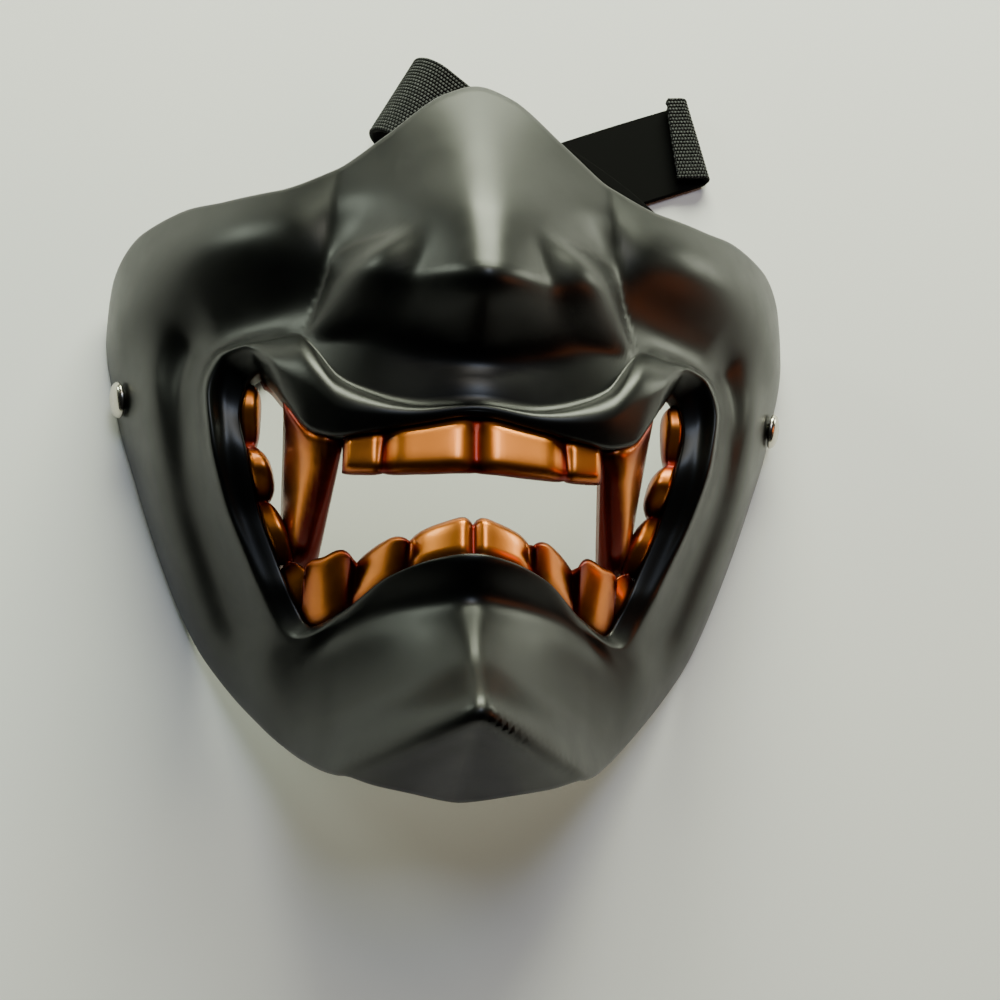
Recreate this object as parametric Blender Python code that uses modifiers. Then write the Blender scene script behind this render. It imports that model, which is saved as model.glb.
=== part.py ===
"""Samurai face guard: a moulded half mask with an open, toothed mouth and two elastic straps.

The guard lies on its back on a floor, face up. +Z is forward of the face, +Y is toward the
forehead and +X is the side on the viewer's right. All lengths are metres. The shell is worked
out as a height over the plan (x, up): a body of sections, with the nose, the wings, the chin and
the folds around the mouth added to it. Its grid runs in columns from the mouth's edge to the rim.
"""
from math import cos, pi, radians, sin

import bmesh
import bpy
import numpy as np
from mathutils import Matrix, Vector

MM = 0.001

# Shell sizes
HALF_WIDTH = 89.3 * MM        # middle plane to the flank at its widest
FACE_LENGTH = 163.0 * MM      # nose bridge to the chin's rim
FACE_DEPTH = 68.0 * MM        # floor to the front of the body, without nose and lips
WALL = 2.6 * MM               # moulded plastic
TRIM = 1.5 * MM               # what the flanks lose where they are cut flat to lie on a floor
NOSE_RISE = 22.0 * MM         # nose tip above the body
NOSE_HALF_WIDTH = 36.0 * MM   # at the level of the tip
NOSE_UNDERSIDE = 15.0 * MM    # tip to the foot of the nose
NOSE_FOOT = -10.0 * MM        # level of the foot in the middle
FOOT_RISE = 0.8               # share of that level by which the foot is higher at the sides
NOSE_SLOPE = 1.15             # 1 for flat sides, more for hollow ones
BROW_LEVEL = 0.39             # where the nose starts, as a share of the face length
BROW_RISE = 0.22              # share of the nose's rise that it has at the brow
BROW_WIDTH = 0.80             # share of its width that it has there
RIDGE_ROUNDING = 0.16         # share of the half width over which the ridge is round
WING_PLACE = (28.5 * MM, 9.5 * MM)
WING_SLANT = 0.3              # how far the wing's crest comes in for each unit of level
WING_OUTER = 9.0 * MM         # crest to the wing's outer foot
WING_INNER = 13.0 * MM        # crest to where it runs into the nose
WING_TALL = 11.5 * MM
WING_RISE = 6.5 * MM
CHIN_START = 0.34             # share of the face length below the tip where the chin begins
CHIN_BLEND = 0.16
CHIN_ARCH = 8.5 * MM          # how far the chin's crest drops at its sides
CHIN_HALF_WIDTH = 28.0 * MM
ARCH_ROUNDING = 0.1
WEDGE_ROUNDING = 0.07         # share of the half width over which the body's middle is round
KEEL_BLEND = 0.08
KEEL_RISE = 1.0 * MM
KEEL_WIDTH = 4.0 * MM

# Mouth sizes
MOUTH_HALF_WIDTH = 51.3 * MM
MOUTH_HEIGHT = 56.4 * MM
MOUTH_MIDDLE = -33.8 * MM     # level of the mouth's middle
LIP_DEPTH = 6.0 * MM          # how far the lip turns back into the mouth
LIP_WIDTH = 22.0 * MM         # upper lip's roll at its widest
ROLL_RISE = 7.0 * MM
ROLL_UNDER = 0.55             # share of the roll's rise that is lost at the mouth's edge
ROLL_CREST = 0.8              # share of the lip's width from the mouth's edge to its crest
RIDGE_RISE = 4.0 * MM
EDGE_DROP = 6.0 * MM
RIDGE_WIDTH = 2.6 * MM
FOLD_REACH = 30.0 * MM        # mouth's edge to the outermost fold
FOLD_RISE = 3.0 * MM
FOLD_FADE = 0.2               # share of a fold's length over which it fades in and out
SWELL_RISE = 5.0 * MM

# Teeth, rivets and straps
TOOTH_LENGTH = 25.0 * MM      # fang from root to tip
TOOTH_THICKNESS = 4.0 * MM
TOOTH_SEAT = 0.6 * MM         # tooth off the lip's inner wall
TOOTH_ROOT = 0.4              # share of the lip's depth at which the teeth start
TOOTH_EDGE = 1.4 * MM         # how far a tooth's faces close in at its tip
SEAT = 0.4 * MM               # clearance of a rivet or strap from what it bears on
RIVET_LEVEL = 0.0 * MM
RIVET_HEIGHT = 9.0 * MM       # rivet above the rim's back edge
RIVET_HEAD = 9.0 * MM
RIVET_DOME = 2.2 * MM
DOME_EDGE = 0.25              # share of the dome's height at its edge
RIVET_SHANK = 4.0 * MM
RIVET_FLANGE = 7.0 * MM
FLANGE_THICKNESS = 0.8 * MM
RIVET_HOLE_PLAY = 0.35 * MM
STRAP_WIDTH = 25.0 * MM
STRAP_THICKNESS = 1.6 * MM
STRAP_LENGTH = 173.0 * MM     # rivet to the hem's fold
STRAP_STANDOFF = 1.9 * MM     # strap off the flank's hollow side at the rivet
STRAP_TAB = 8.0 * MM          # strap beyond the rivet
STRAP_BEND = 3.5 * MM         # outer radius where the strap turns from the flank to the floor
FOLD_RADIUS = {-1: 2.3 * MM, 1: 9.5 * MM}   # outer radius of each strap's fold at its far end
LIFT_BLEND = 0.35             # share of the width over which a strap climbs the other one

# Mesh fineness
COLUMNS_PER_STATION = 2
LIP_RINGS = 6
FACE_RINGS = 11
TOOTH_COLUMNS = 5
TOOTH_RINGS = (0.0, 0.08, 0.22, 0.42, 0.64, 0.83, 0.95, 1.0)
TIP_START = 0.7               # share of a tooth's length where its edge starts to close in
DOME_RINGS = (0.35, 0.65, 0.88, 1.0)
RIVET_SIDES = 16
STRAP_COLUMNS = 7
STRAP_START = 40.0 * MM       # stretch from the tab's end that has close rows
FOLD_LEAD = 14.0 * MM         # stretch before a fold that has close rows
FOLD_TAIL = 10.0 * MM         # stretch beyond it
CUTTER_DEPTH = 20.0 * MM

# Sections of the body from brow to chin. Level is a share of the face length, half width a share
# of HALF_WIDTH, front a share of FACE_DEPTH; fullness is 1 for a wedge and 2 for a round section.
SECTIONS = (
    # level, half width, front, fullness
    (0.395, 0.950, 0.81, 1.90),
    (0.220, 1.000, 0.91, 1.80),
    (0.123, 1.000, 0.96, 1.75),
    (0.000, 0.958, 0.99, 1.75),
    (-0.123, 0.882, 1.00, 1.90),
    (-0.221, 0.815, 0.97, 1.45),
    (-0.307, 0.748, 0.99, 1.10),
    (-0.365, 0.697, 0.92, 1.05),
    (-0.442, 0.620, 1.02, 1.05),
    (-0.527, 0.520, 1.21, 1.10),
    (-0.552, 0.503, 1.05, 1.10),
    (-0.575, 0.489, 0.87, 1.15),
    (-0.597, 0.476, 0.67, 1.25),
    (-0.620, 0.462, 0.48, 1.60),
)

# Stations around the half of the mouth on the viewer's right, from the upper lip's middle to the
# lower lip's. Mouth x is a share of MOUTH_HALF_WIDTH, mouth level a share of MOUTH_HEIGHT from its
# middle, rim level a share of FACE_LENGTH and reach the share of the section's half width. Lip is
# the width of the fold beside the mouth as a share of LIP_WIDTH; roll, ridge and drop are shares of
# ROLL_RISE, RIDGE_RISE and EDGE_DROP.
STATIONS = (
    # mouth x, mouth level, rim level, reach, lip, roll, ridge, drop
    (0.000, 0.230, 0.390, 0.000, 0.11, 0.30, 0.0, 0.0),
    (0.222, 0.200, 0.372, 0.095, 0.17, 0.40, 0.0, 0.0),
    (0.429, 0.168, 0.303, 0.240, 0.38, 0.62, 0.0, 0.0),
    (0.560, 0.158, 0.254, 0.370, 0.62, 0.86, 0.0, 0.0),
    (0.682, 0.190, 0.230, 0.510, 1.12, 1.00, 0.0, 0.0),
    (0.784, 0.305, 0.232, 0.640, 0.82, 0.95, 0.3, 0.0),
    (0.870, 0.431, 0.244, 0.770, 0.50, 0.75, 0.6, 0.3),
    (0.925, 0.495, 0.242, 0.890, 0.32, 0.45, 0.9, 0.6),
    (0.980, 0.470, 0.195, 0.985, 0.37, 0.15, 1.0, 0.9),
    (1.000, 0.360, 0.092, 1.000, 0.43, 0.00, 1.0, 1.0),
    (0.960, 0.191, -0.030, 1.000, 0.44, 0.00, 0.9, 1.0),
    (0.905, -0.004, -0.150, 1.000, 0.39, 0.00, 0.7, 0.9),
    (0.800, -0.234, -0.270, 1.000, 0.33, 0.00, 0.4, 0.8),
    (0.722, -0.390, -0.365, 0.990, 0.28, 0.00, 0.2, 0.6),
    (0.640, -0.480, -0.448, 0.940, 0.24, 0.00, 0.1, 0.5),
    (0.510, -0.434, -0.509, 0.874, 0.21, 0.00, 0.0, 0.4),
    (0.331, -0.342, -0.564, 0.687, 0.21, 0.00, 0.0, 0.2),
    (0.144, -0.301, -0.598, 0.384, 0.21, 0.00, 0.0, 0.1),
    (0.000, -0.289, -0.609, 0.000, 0.21, 0.00, 0.0, 0.1),
)

# Folds that run beside the mouth: first and last station, then shares of FOLD_REACH for their
# distance from the mouth's edge at both stations and for their width, and a share of FOLD_RISE for
# their lift, negative for a valley.
FOLDS = (
    # first, last, distance at first, distance at last, width, lift
    (7.0, 14.0, 0.70, 0.43, 0.17, -1.0),
    (8.0, 14.5, 1.00, 0.70, 0.20, 0.5),
    (14.5, 18.0, 0.22, 0.27, 0.15, -0.5),
)

# Swells of the plan, alike on both sides: the centre's x and the radius in x as shares of
# HALF_WIDTH, its level and the radius in level as shares of FACE_LENGTH, the lift as a share of
# SWELL_RISE.
SWELLS = (
    # x, level, radius in x, radius in level, lift
    (0.56, 0.050, 0.34, 0.061, -0.9),
    (0.63, 0.160, 0.34, 0.080, 0.95),
    (0.00, -0.090, 0.11, 0.045, 0.5),
    (0.49, -0.448, 0.067, 0.086, 0.4),
    (0.32, 0.150, 0.090, 0.043, -0.5),
)

# Straps by the side of their rivet: headings in the plan (degrees) at the rivet and at the far end,
# where the turn between them starts, its length, and the length beyond the fold at the far end, all
# as shares of STRAP_LENGTH, then the direction that the fold faces and how far it turns (degrees).
STRAPS = {
    # side: first heading, last heading, turn start, turn length, beyond, fold faces, fold turns
    -1: (35.4, 22.0, 0.173, 0.845, 0.076, 14.0, 180.0),
    1: (121.0, 159.0, 0.104, 0.665, 0.450, 153.0, 191.0),
}

# Teeth on the viewer's right: row, first and last station on the mouth's edge, the direction they
# grow in (degrees in the plan), their reach at the first station, in the middle and at the last, how
# square their tip is, how far the tip lies forward of the root, and the bulge of their face. Reach
# and lean are shares of TOOTH_LENGTH, the bulge is a share of TOOTH_THICKNESS.
TEETH = (
    # row, first, last, aim, reach first, middle, last, squareness, lean, bulge
    ("upper_teeth", 0.00, 1.87, -90, 0.49, 0.45, 0.36, 6.0, 0.04, 0.40),
    ("upper_teeth", 1.87, 2.86, -90, 0.35, 0.34, 0.30, 6.0, 0.00, 0.30),
    ("fang", 2.92, 5.50, -95, 0.40, 1.00, 0.16, 4.5, -1.16, 0.75),
    ("fang", 5.50, 6.60, -120, 0.05, 0.11, 0.05, 2.4, -0.04, 0.20),
    ("cheek_teeth", 8.15, 9.75, 180, 0.06, 0.15, 0.08, 2.4, 0.00, 0.35),
    ("cheek_teeth", 9.75, 10.85, 180, 0.08, 0.24, 0.10, 2.4, 0.02, 0.45),
    ("cheek_teeth", 10.85, 11.90, 172, 0.10, 0.22, 0.10, 2.4, 0.04, 0.45),
    ("lower_teeth", 12.05, 13.20, 145, 0.12, 0.26, 0.18, 2.4, 0.16, 0.40),
    ("lower_teeth", 13.20, 15.05, 95, 0.32, 0.60, 0.40, 2.8, 0.40, 0.60),
    ("lower_teeth", 15.05, 16.30, 96, 0.38, 0.39, 0.25, 3.5, 0.20, 0.45),
    ("lower_teeth", 16.30, 18.00, 90, 0.24, 0.36, 0.31, 6.0, -0.04, 0.40),
)


def smooth_curve(rows, at):
    """Values at `at` on a smooth curve through rows of (parameter, value, ...), with no overshoot."""
    rows = np.asarray(sorted(rows), dtype=float)
    knots = rows[:, 0]
    values = rows[:, 1:]
    gaps = np.diff(knots)[:, None]
    rises = np.diff(values, axis=0) / gaps
    before = rises[:-1]
    after = rises[1:]
    same_way = before * after > 0
    total = np.where(same_way, before + after, 1.0)
    slopes = np.zeros_like(values)
    slopes[1:-1] = np.where(same_way, 2 * before * after / total, 0.0)
    slopes[0] = rises[0]
    slopes[-1] = rises[-1]
    at = np.clip(np.asarray(at, dtype=float), knots[0], knots[-1])
    index = np.clip(np.searchsorted(knots, at, side="right") - 1, 0, len(knots) - 2)
    gap = gaps[index, 0][..., None]
    t = ((at - knots[index]) / gap[..., 0])[..., None]
    start = values[index]
    end = values[index + 1]
    first = slopes[index] * gap
    last = slopes[index + 1] * gap
    return ((2 * t**3 - 3 * t**2 + 1) * start + (t**3 - 2 * t**2 + t) * first
            + (3 * t**2 - 2 * t**3) * end + (t**3 - t**2) * last)


def smooth_step(t):
    """0 below 0, 1 above 1 and a smooth rise between them."""
    t = np.clip(t, 0.0, 1.0)
    return t * t * (3 - 2 * t)


def soft_share(x, half_width, rounding):
    """|x| / half width as a share from 0 to 1, round instead of pointed at 0."""
    share = np.clip(np.abs(x) / half_width, 0.0, 1.0)
    return (np.sqrt(share**2 + rounding**2) - rounding) / (np.sqrt(1 + rounding**2) - rounding)


def bell(t):
    """1 at 0, falling smoothly to nothing at about 2."""
    return np.exp(-t * t)


def stations_at(turn):
    """Mouth x, mouth level, rim x, rim level, lip width, roll, ridge and drop at stations `turn`.

    The turn runs from 0 at the upper lip's middle, down the viewer's right side, to the last station
    at the lower lip's middle, and back up the other side as a mirror image.
    """
    last = len(STATIONS) - 1
    turn = np.asarray(turn, dtype=float) % (2 * last)
    side = np.where(turn > last, -1.0, 1.0)
    half_turn = np.where(turn > last, 2 * last - turn, turn)
    rows = []
    for index in range(-2, last + 3):
        mirrored = abs(index) if index <= last else 2 * last - index
        sign = 1.0 if 0 <= index <= last else -1.0
        x, level, rim_level, reach, *lip = STATIONS[mirrored]
        rows.append((index, sign * x, level, rim_level, sign * reach, *lip))
    found = smooth_curve(rows, half_turn)
    rim_level = found[..., 2] * FACE_LENGTH
    half_width = sections_at(rim_level)[0]
    reach = np.clip(found[..., 3], 0.0, 1.0)
    return (side * found[..., 0] * MOUTH_HALF_WIDTH,
            MOUTH_MIDDLE + found[..., 1] * MOUTH_HEIGHT,
            side * reach * half_width,
            rim_level,
            found[..., 4] * LIP_WIDTH,
            found[..., 5] * ROLL_RISE,
            found[..., 6] * RIDGE_RISE,
            found[..., 7] * EDGE_DROP)


def sections_at(level):
    """Half width, front height and fullness of the body at a level."""
    found = smooth_curve(SECTIONS, level / FACE_LENGTH)
    return found[..., 0] * HALF_WIDTH, found[..., 1] * FACE_DEPTH, found[..., 2]


def body_height(x, level):
    """Height of the plain body: front * (1 - (|x| / half width)^fullness)^(2/3), less the trim."""
    arch = CHIN_ARCH * soft_share(x, CHIN_HALF_WIDTH, ARCH_ROUNDING) ** 0.75
    arch = arch * smooth_step((-level / FACE_LENGTH - CHIN_START) / CHIN_BLEND)
    half_width, _, fullness = sections_at(level)
    front = sections_at(level + arch)[1]
    share = soft_share(x, half_width, WEDGE_ROUNDING)
    return (front + TRIM) * (1 - share**fullness) ** (2 / 3) - TRIM


def nose_height(x, level):
    """A ridge with flat sides that rises from the brow to the tip and drops to the nose's foot."""
    along = np.clip(1 - level / (BROW_LEVEL * FACE_LENGTH), 0.0, 1.0)
    rise = NOSE_RISE * (BROW_RISE + (1 - BROW_RISE) * along)
    half_width = NOSE_HALF_WIDTH * (BROW_WIDTH + (1 - BROW_WIDTH) * along)
    share = soft_share(x, half_width, RIDGE_ROUNDING)
    foot = NOSE_FOOT * (1 - FOOT_RISE * share)
    return rise * (1 - share) ** NOSE_SLOPE * smooth_step((level - foot) / NOSE_UNDERSIDE)


def wing_height(x, level):
    """Two domes beside the nose tip, steep at their outer foot and running into the nose inside."""
    off = np.abs(x) - (WING_PLACE[0] - WING_SLANT * level)
    outer = np.clip(1 - (off / WING_OUTER) ** 2, 0.0, 1.0) ** 0.7
    inner = np.clip(1 - (off / WING_INNER) ** 2, 0.0, 1.0) ** 2
    tall = np.clip(1 - ((level - WING_PLACE[1]) / WING_TALL) ** 2, 0.0, 1.0)
    return WING_RISE * np.where(off > 0, outer, inner) * tall


def keel_height(x, level):
    """A soft keel down the middle of the chin."""
    along = smooth_step((-level / FACE_LENGTH - CHIN_START) / KEEL_BLEND)
    return KEEL_RISE * along * bell(x / KEEL_WIDTH)


def swell_height(x, level):
    """Broad hollows and swells of cheek, jaw and lip."""
    height = np.zeros_like(x)
    for centre, middle, radius, tall, lift in SWELLS:
        share = ((np.abs(x) / HALF_WIDTH - centre) / radius) ** 2
        share = share + ((level / FACE_LENGTH - middle) / tall) ** 2
        height = height + lift * SWELL_RISE * bell(np.sqrt(share))
    return height


def fold_height(turn, distance, lip, roll, ridge, drop):
    """The lip's roll and ridge beside the mouth, and the folds of the FOLDS table."""
    last = len(STATIONS) - 1
    half_turn = np.minimum(turn % (2 * last), 2 * last - turn % (2 * last))
    share = np.clip(distance / lip, 0.0, 1.0)
    turned_under = 1 - ROLL_UNDER * np.clip(1 - share / ROLL_CREST, 0.0, 1.0) ** 2
    height = roll * turned_under * (1 - share**3) ** 0.8 - drop * (1 - share) ** 1.3
    height = height + ridge * bell((distance - lip) / RIDGE_WIDTH)
    for first, end, near, far, width, lift in FOLDS:
        along = (half_turn - first) / (end - first)
        centre = (near + (far - near) * np.clip(along, 0, 1)) * FOLD_REACH
        window = smooth_step(along / FOLD_FADE)
        if end < last:
            window = window * smooth_step((1 - along) / FOLD_FADE)
        height = height + lift * FOLD_RISE * window * bell((distance - centre) / (width * FOLD_REACH))
    return height


def shell_height(x, level, turn, distance, lip, roll, ridge, drop):
    """Height of the shell's outer face over the plan."""
    return (body_height(x, level) + nose_height(x, level) + wing_height(x, level)
            + keel_height(x, level) + swell_height(x, level)
            + fold_height(turn, distance, lip, roll, ridge, drop))


def shell_surface(turns, lip_rings, face_rings):
    """Points of the shell's outer face: one row for each turn, each from the mouth to the rim.

    The first `lip_rings` steps reach the outer edge of the lip and the others the rim, each group
    evenly spaced along the face itself.
    """
    mouth_x, mouth_level, rim_x, rim_level, lip, roll, ridge, drop = stations_at(turns)
    whole = np.hypot(rim_x - mouth_x, rim_level - mouth_level)

    def points(share):
        x = mouth_x[:, None] + (rim_x - mouth_x)[:, None] * share
        level = mouth_level[:, None] + (rim_level - mouth_level)[:, None] * share
        distance = np.hypot(x - mouth_x[:, None], level - mouth_level[:, None])
        turn = np.broadcast_to(turns[:, None], x.shape)
        height = shell_height(x, level, turn, distance,
                              lip[:, None], roll[:, None], ridge[:, None], drop[:, None])
        return np.stack([x, level, height], axis=-1)

    def even_shares(start, end, rings):
        fine = 1 - (1 - np.linspace(0, 1, 161)) ** 2
        share = start[:, None] + (end - start)[:, None] * fine
        steps = np.linalg.norm(np.diff(points(share), axis=1), axis=-1)
        length = np.concatenate([np.zeros((len(turns), 1)), np.cumsum(steps, axis=1)], axis=1)
        length = length / length[:, -1:]
        column = np.arange(len(turns))[:, None] * 2.0
        wanted = np.linspace(0, 1, rings + 1)
        even = np.interp((column + wanted).ravel(), (column + length).ravel(), share.ravel())
        even = even.reshape(len(turns), rings + 1)
        even[:, 0] = start
        even[:, -1] = end
        return even

    crease = lip / whole
    inner = even_shares(np.zeros_like(crease), crease, lip_rings)
    outer = even_shares(crease, np.ones_like(crease), face_rings)
    return points(np.concatenate([inner, outer[:, 1:]], axis=1))


def shell_turns(per_station):
    """Evenly spaced turns of a whole loop around the mouth."""
    loop = 2 * (len(STATIONS) - 1)
    return np.arange(loop * per_station) / per_station


def material(name, colour, roughness, metallic):
    made = bpy.data.materials.new(name)
    made.use_nodes = True
    shader = made.node_tree.nodes["Principled BSDF"]
    shader.inputs["Base Color"].default_value = (*colour, 1.0)
    shader.inputs["Roughness"].default_value = roughness
    shader.inputs["Metallic"].default_value = metallic
    return made


def grid_faces(rows, columns, closed):
    """Quads of a grid whose rows wrap around when `closed`."""
    row = np.arange(rows if closed else rows - 1)[:, None]
    column = np.arange(columns - 1)[None, :]
    here = row * columns + column
    there = ((row + 1) % rows) * columns + column
    return np.stack([here, there, there + 1, here + 1], axis=-1).reshape(-1, 4)


def add_object(name, points, faces, finish, collection):
    mesh = bpy.data.meshes.new(name)
    mesh.from_pydata(points.reshape(-1, 3).tolist(), [], faces.tolist())
    made = bpy.data.objects.new(name, mesh)
    mesh.materials.append(finish)
    mesh.shade_smooth()
    collection.objects.link(made)
    return made


def cut(body, cutter):
    boolean = body.modifiers.new(cutter.name, "BOOLEAN")
    boolean.operation = "DIFFERENCE"
    boolean.solver = "EXACT"
    boolean.object = cutter


def as_cutter(made, cutters):
    for owner in made.users_collection:
        owner.objects.unlink(made)
    cutters.objects.link(made)
    made.hide_render = True
    made.display_type = "WIRE"
    return made


def rivet_frame(side):
    """Matrix of the rivet on one flank: origin on the outer face, local +Z outward along its axis."""
    half_width = float(sections_at(np.array(RIVET_LEVEL))[0])
    x = np.linspace(0.85, 1.0, 400) * half_width
    level = np.full_like(x, RIVET_LEVEL)
    height = body_height(x, level)
    place = float(np.interp(-RIVET_HEIGHT, -height, x))
    step = 1.0 * MM
    spot = np.array([place - step, place + step, place, place])
    levels = RIVET_LEVEL + np.array([0.0, 0.0, -step, step])
    around = body_height(spot, levels)
    slope_x = (around[1] - around[0]) / (2 * step)
    slope_level = (around[3] - around[2]) / (2 * step)
    outward = Vector((-slope_x * side, -slope_level, 1.0)).normalized()
    along_rim = Vector((0, 0, 1)).cross(outward).normalized()
    up_flank = outward.cross(along_rim)
    frame = Matrix((along_rim, up_flank, outward)).transposed().to_4x4()
    frame.translation = Vector((side * place, RIVET_LEVEL, RIVET_HEIGHT))
    return frame


def build_shell(collection, cutters, finish):
    """The moulded shell: an open surface given its wall, cut flat below and drilled for the rivets."""
    turns = shell_turns(COLUMNS_PER_STATION)
    face = shell_surface(turns, LIP_RINGS, FACE_RINGS)
    edge = face[:, :1]
    wall = [edge - np.array([0, 0, LIP_DEPTH * share]) for share in (1.0, 0.5)]
    points = np.concatenate([*wall, face], axis=1)
    shell = add_object("shell", points, grid_faces(*points.shape[:2], True), finish, collection)
    solidify = shell.modifiers.new("wall", "SOLIDIFY")
    solidify.thickness = WALL
    solidify.offset = -1.0
    bpy.ops.mesh.primitive_cube_add(size=1.0)
    floor = bpy.context.object
    floor.name = "floor_cutter"
    floor.scale = (4 * HALF_WIDTH, 2 * FACE_LENGTH, CUTTER_DEPTH)
    floor.location = (0, 0, -CUTTER_DEPTH / 2)
    cut(shell, as_cutter(floor, cutters))
    for side, name in ((-1, "left"), (1, "right")):
        cut(shell, hole_cutter(f"shell_hole_{name}", side, cutters))
    return shell


def hole_cutter(name, side, cutters):
    bpy.ops.mesh.primitive_cylinder_add(vertices=16, radius=RIVET_SHANK / 2 + RIVET_HOLE_PLAY,
                                        depth=CUTTER_DEPTH)
    made = bpy.context.object
    made.name = name
    made.matrix_world = rivet_frame(side)
    return as_cutter(made, cutters)


def build_teeth(name, row, sides, collection, finish):
    """A row of teeth as one plate, seated against the lip's inner wall.

    Each tooth of the row grows from the mouth's edge in its own direction, with a round crown in
    front. A row with both sides starts or ends at the middle and runs on as its mirror image.
    """
    fractions = np.linspace(0, 1, TOOTH_COLUMNS)
    columns = []
    for first, last, aim, near, middle, far, squareness, lean, bulge in (
            tooth[1:] for tooth in TEETH if tooth[0] == row):
        swell = 1 - np.abs(2 * fractions - 1) ** squareness
        reach = near + (far - near) * fractions + (middle - (near + far) / 2) * swell
        for place, along, out in zip(first + (last - first) * fractions, reach, swell):
            columns.append((place, along * TOOTH_LENGTH, radians(aim), lean * TOOTH_LENGTH,
                            bulge * TOOTH_THICKNESS * out))
    turn, reach, aim, lean, bulge = np.array(columns).T
    seams = np.abs(np.diff(turn)) < 1e-9
    keep = np.append(True, ~seams)
    half = np.stack([turn, reach, np.cos(aim), np.sin(aim), lean, bulge], axis=-1)[keep]
    mirrored = half[::-1] * np.array([-1, 1, -1, 1, 1, 1])
    if sides == (-1, 1):
        loop = 2 * (len(STATIONS) - 1)
        both = (mirrored[:-1], half) if half[0, 0] == 0 else (half, mirrored[1:] + [loop, 0, 0, 0, 0, 0])
        half = np.concatenate(both)
    elif sides == (-1,):
        half = mirrored
    turn, reach, aim_x, aim_level, lean, bulge = half.T
    root = mouth_polygon(turn)
    direction = np.stack([aim_x, aim_level], axis=-1)[:, None, :]
    depth = np.array(TOOTH_RINGS)
    plan = root[:, None, :2] + direction * (reach[:, None] * depth)[..., None]
    base = root[:, None, 2] + lean[:, None] * depth
    crown = np.sin(pi * (0.12 + 0.85 * depth))
    edge = TOOTH_EDGE * np.clip((depth - TIP_START) / (1 - TIP_START), 0, 1) ** 2
    front = base + bulge[:, None] * crown - edge
    back = base - TOOTH_THICKNESS + edge
    faces = [np.concatenate([plan, height[..., None]], axis=-1) for height in (front, back)]
    return add_plate(name, faces[0], faces[1], finish, collection)


def add_plate(name, top, bottom, finish, collection):
    """A closed plate between two grids of the same shape."""
    rows, columns = top.shape[:2]
    points = np.concatenate([top.reshape(-1, 3), bottom.reshape(-1, 3)])
    upper = grid_faces(rows, columns, False)
    lower = upper[:, ::-1] + rows * columns
    index = np.arange(rows * columns).reshape(rows, columns)
    border = np.concatenate([index[0, :-1], index[:-1, -1], index[-1, :0:-1], index[:0:-1, 0]])
    following = np.roll(border, -1)
    offset = rows * columns
    sides = np.stack([border, following, following + offset, border + offset], axis=-1)
    made = add_object(name, points, np.concatenate([upper, lower, sides]), finish, collection)
    shape = bmesh.new()
    shape.from_mesh(made.data)
    bmesh.ops.recalc_face_normals(shape, faces=shape.faces)
    shape.to_mesh(made.data)
    shape.free()
    return made


def mouth_polygon(turn):
    """Points on the coarse mouth edge, moved off the lip's inner wall by the seat clearance."""
    columns = shell_turns(COLUMNS_PER_STATION)
    edge = shell_surface(columns, LIP_RINGS, FACE_RINGS)[:, 0]
    loop = 2 * (len(STATIONS) - 1)
    ahead = np.roll(edge, -1, axis=0)[:, :2]
    behind = np.roll(edge, 1, axis=0)[:, :2]
    run = ahead - behind
    inward = np.stack([run[:, 1], -run[:, 0]], axis=-1)
    inward = inward / np.linalg.norm(inward, axis=-1, keepdims=True)
    seated = edge.copy()
    seated[:, :2] += inward * TOOTH_SEAT
    seated[:, 2] -= TOOTH_ROOT * LIP_DEPTH
    closed = np.concatenate([seated, seated[:1]])
    places = np.append(columns, loop)
    wrapped = np.asarray(turn) % loop
    return np.stack([np.interp(wrapped, places, closed[:, axis]) for axis in range(3)], axis=-1)


def roll_up(points, place, outward, radius, angle):
    """Rolls what lies beyond a line of the plan up around a cylinder that rests on the floor.

    The line passes through `place` at right angles to the unit vector `outward`. The points' height
    is their height above the sheet's lower face, which bends at `radius` through `angle`.
    """
    beyond = (points[..., :2] - place) @ outward
    arc = np.clip(beyond, 0, radius * angle)
    straight = beyond - arc
    turned = arc / radius
    inner = radius - points[..., 2]
    away = inner * np.sin(turned) + straight * np.where(beyond > 0, np.cos(turned), 1.0)
    height = radius - inner * np.cos(turned) + np.where(beyond > 0, straight * np.sin(turned), 0.0)
    rolled = points.copy()
    rolled[..., :2] += (away - beyond)[..., None] * outward
    rolled[..., 2] = height
    return rolled


def flank_bend(side):
    """Where a strap bends from the floor to the flank: place, outward, angle and the rivet's flat place."""
    frame = rivet_frame(side)
    normal = np.array(frame.to_3x3().col[2])
    target = np.array(frame.translation) - normal * (WALL + STRAP_STANDOFF)
    flat = np.hypot(normal[0], normal[1])
    outward = normal[:2] / flat
    angle = pi / 2 + np.arcsin(normal[2])
    straight = (target[2] - STRAP_BEND * (1 - np.cos(angle))) / np.sin(angle)
    along = target[:2] @ outward
    start = along - STRAP_BEND * np.sin(angle) - straight * np.cos(angle)
    place = target[:2] + (start - along) * outward
    rivet = place + (STRAP_BEND * angle + straight) * outward
    return place, outward, angle, rivet


def strap_route(side):
    """Middle line of a flat strap every millimetre from its tab on: along, points and headings."""
    first, last, start, length, beyond = STRAPS[side][:5]
    rivet = flank_bend(side)[3]
    total = STRAP_TAB + (start + length + beyond) * STRAP_LENGTH
    along = np.arange(0.0, total + 0.5 * MM, MM)
    bend = smooth_step((along - STRAP_TAB - start * STRAP_LENGTH) / (length * STRAP_LENGTH))
    heading = radians(first) + radians(last - first) * bend
    steps = np.stack([np.cos(heading), np.sin(heading)], axis=-1) * MM
    line = np.concatenate([np.zeros((1, 2)), np.cumsum((steps[1:] + steps[:-1]) / 2, axis=0)])
    line = line + rivet - np.array([cos(radians(first)), sin(radians(first))]) * STRAP_TAB
    return along, line, heading


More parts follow.
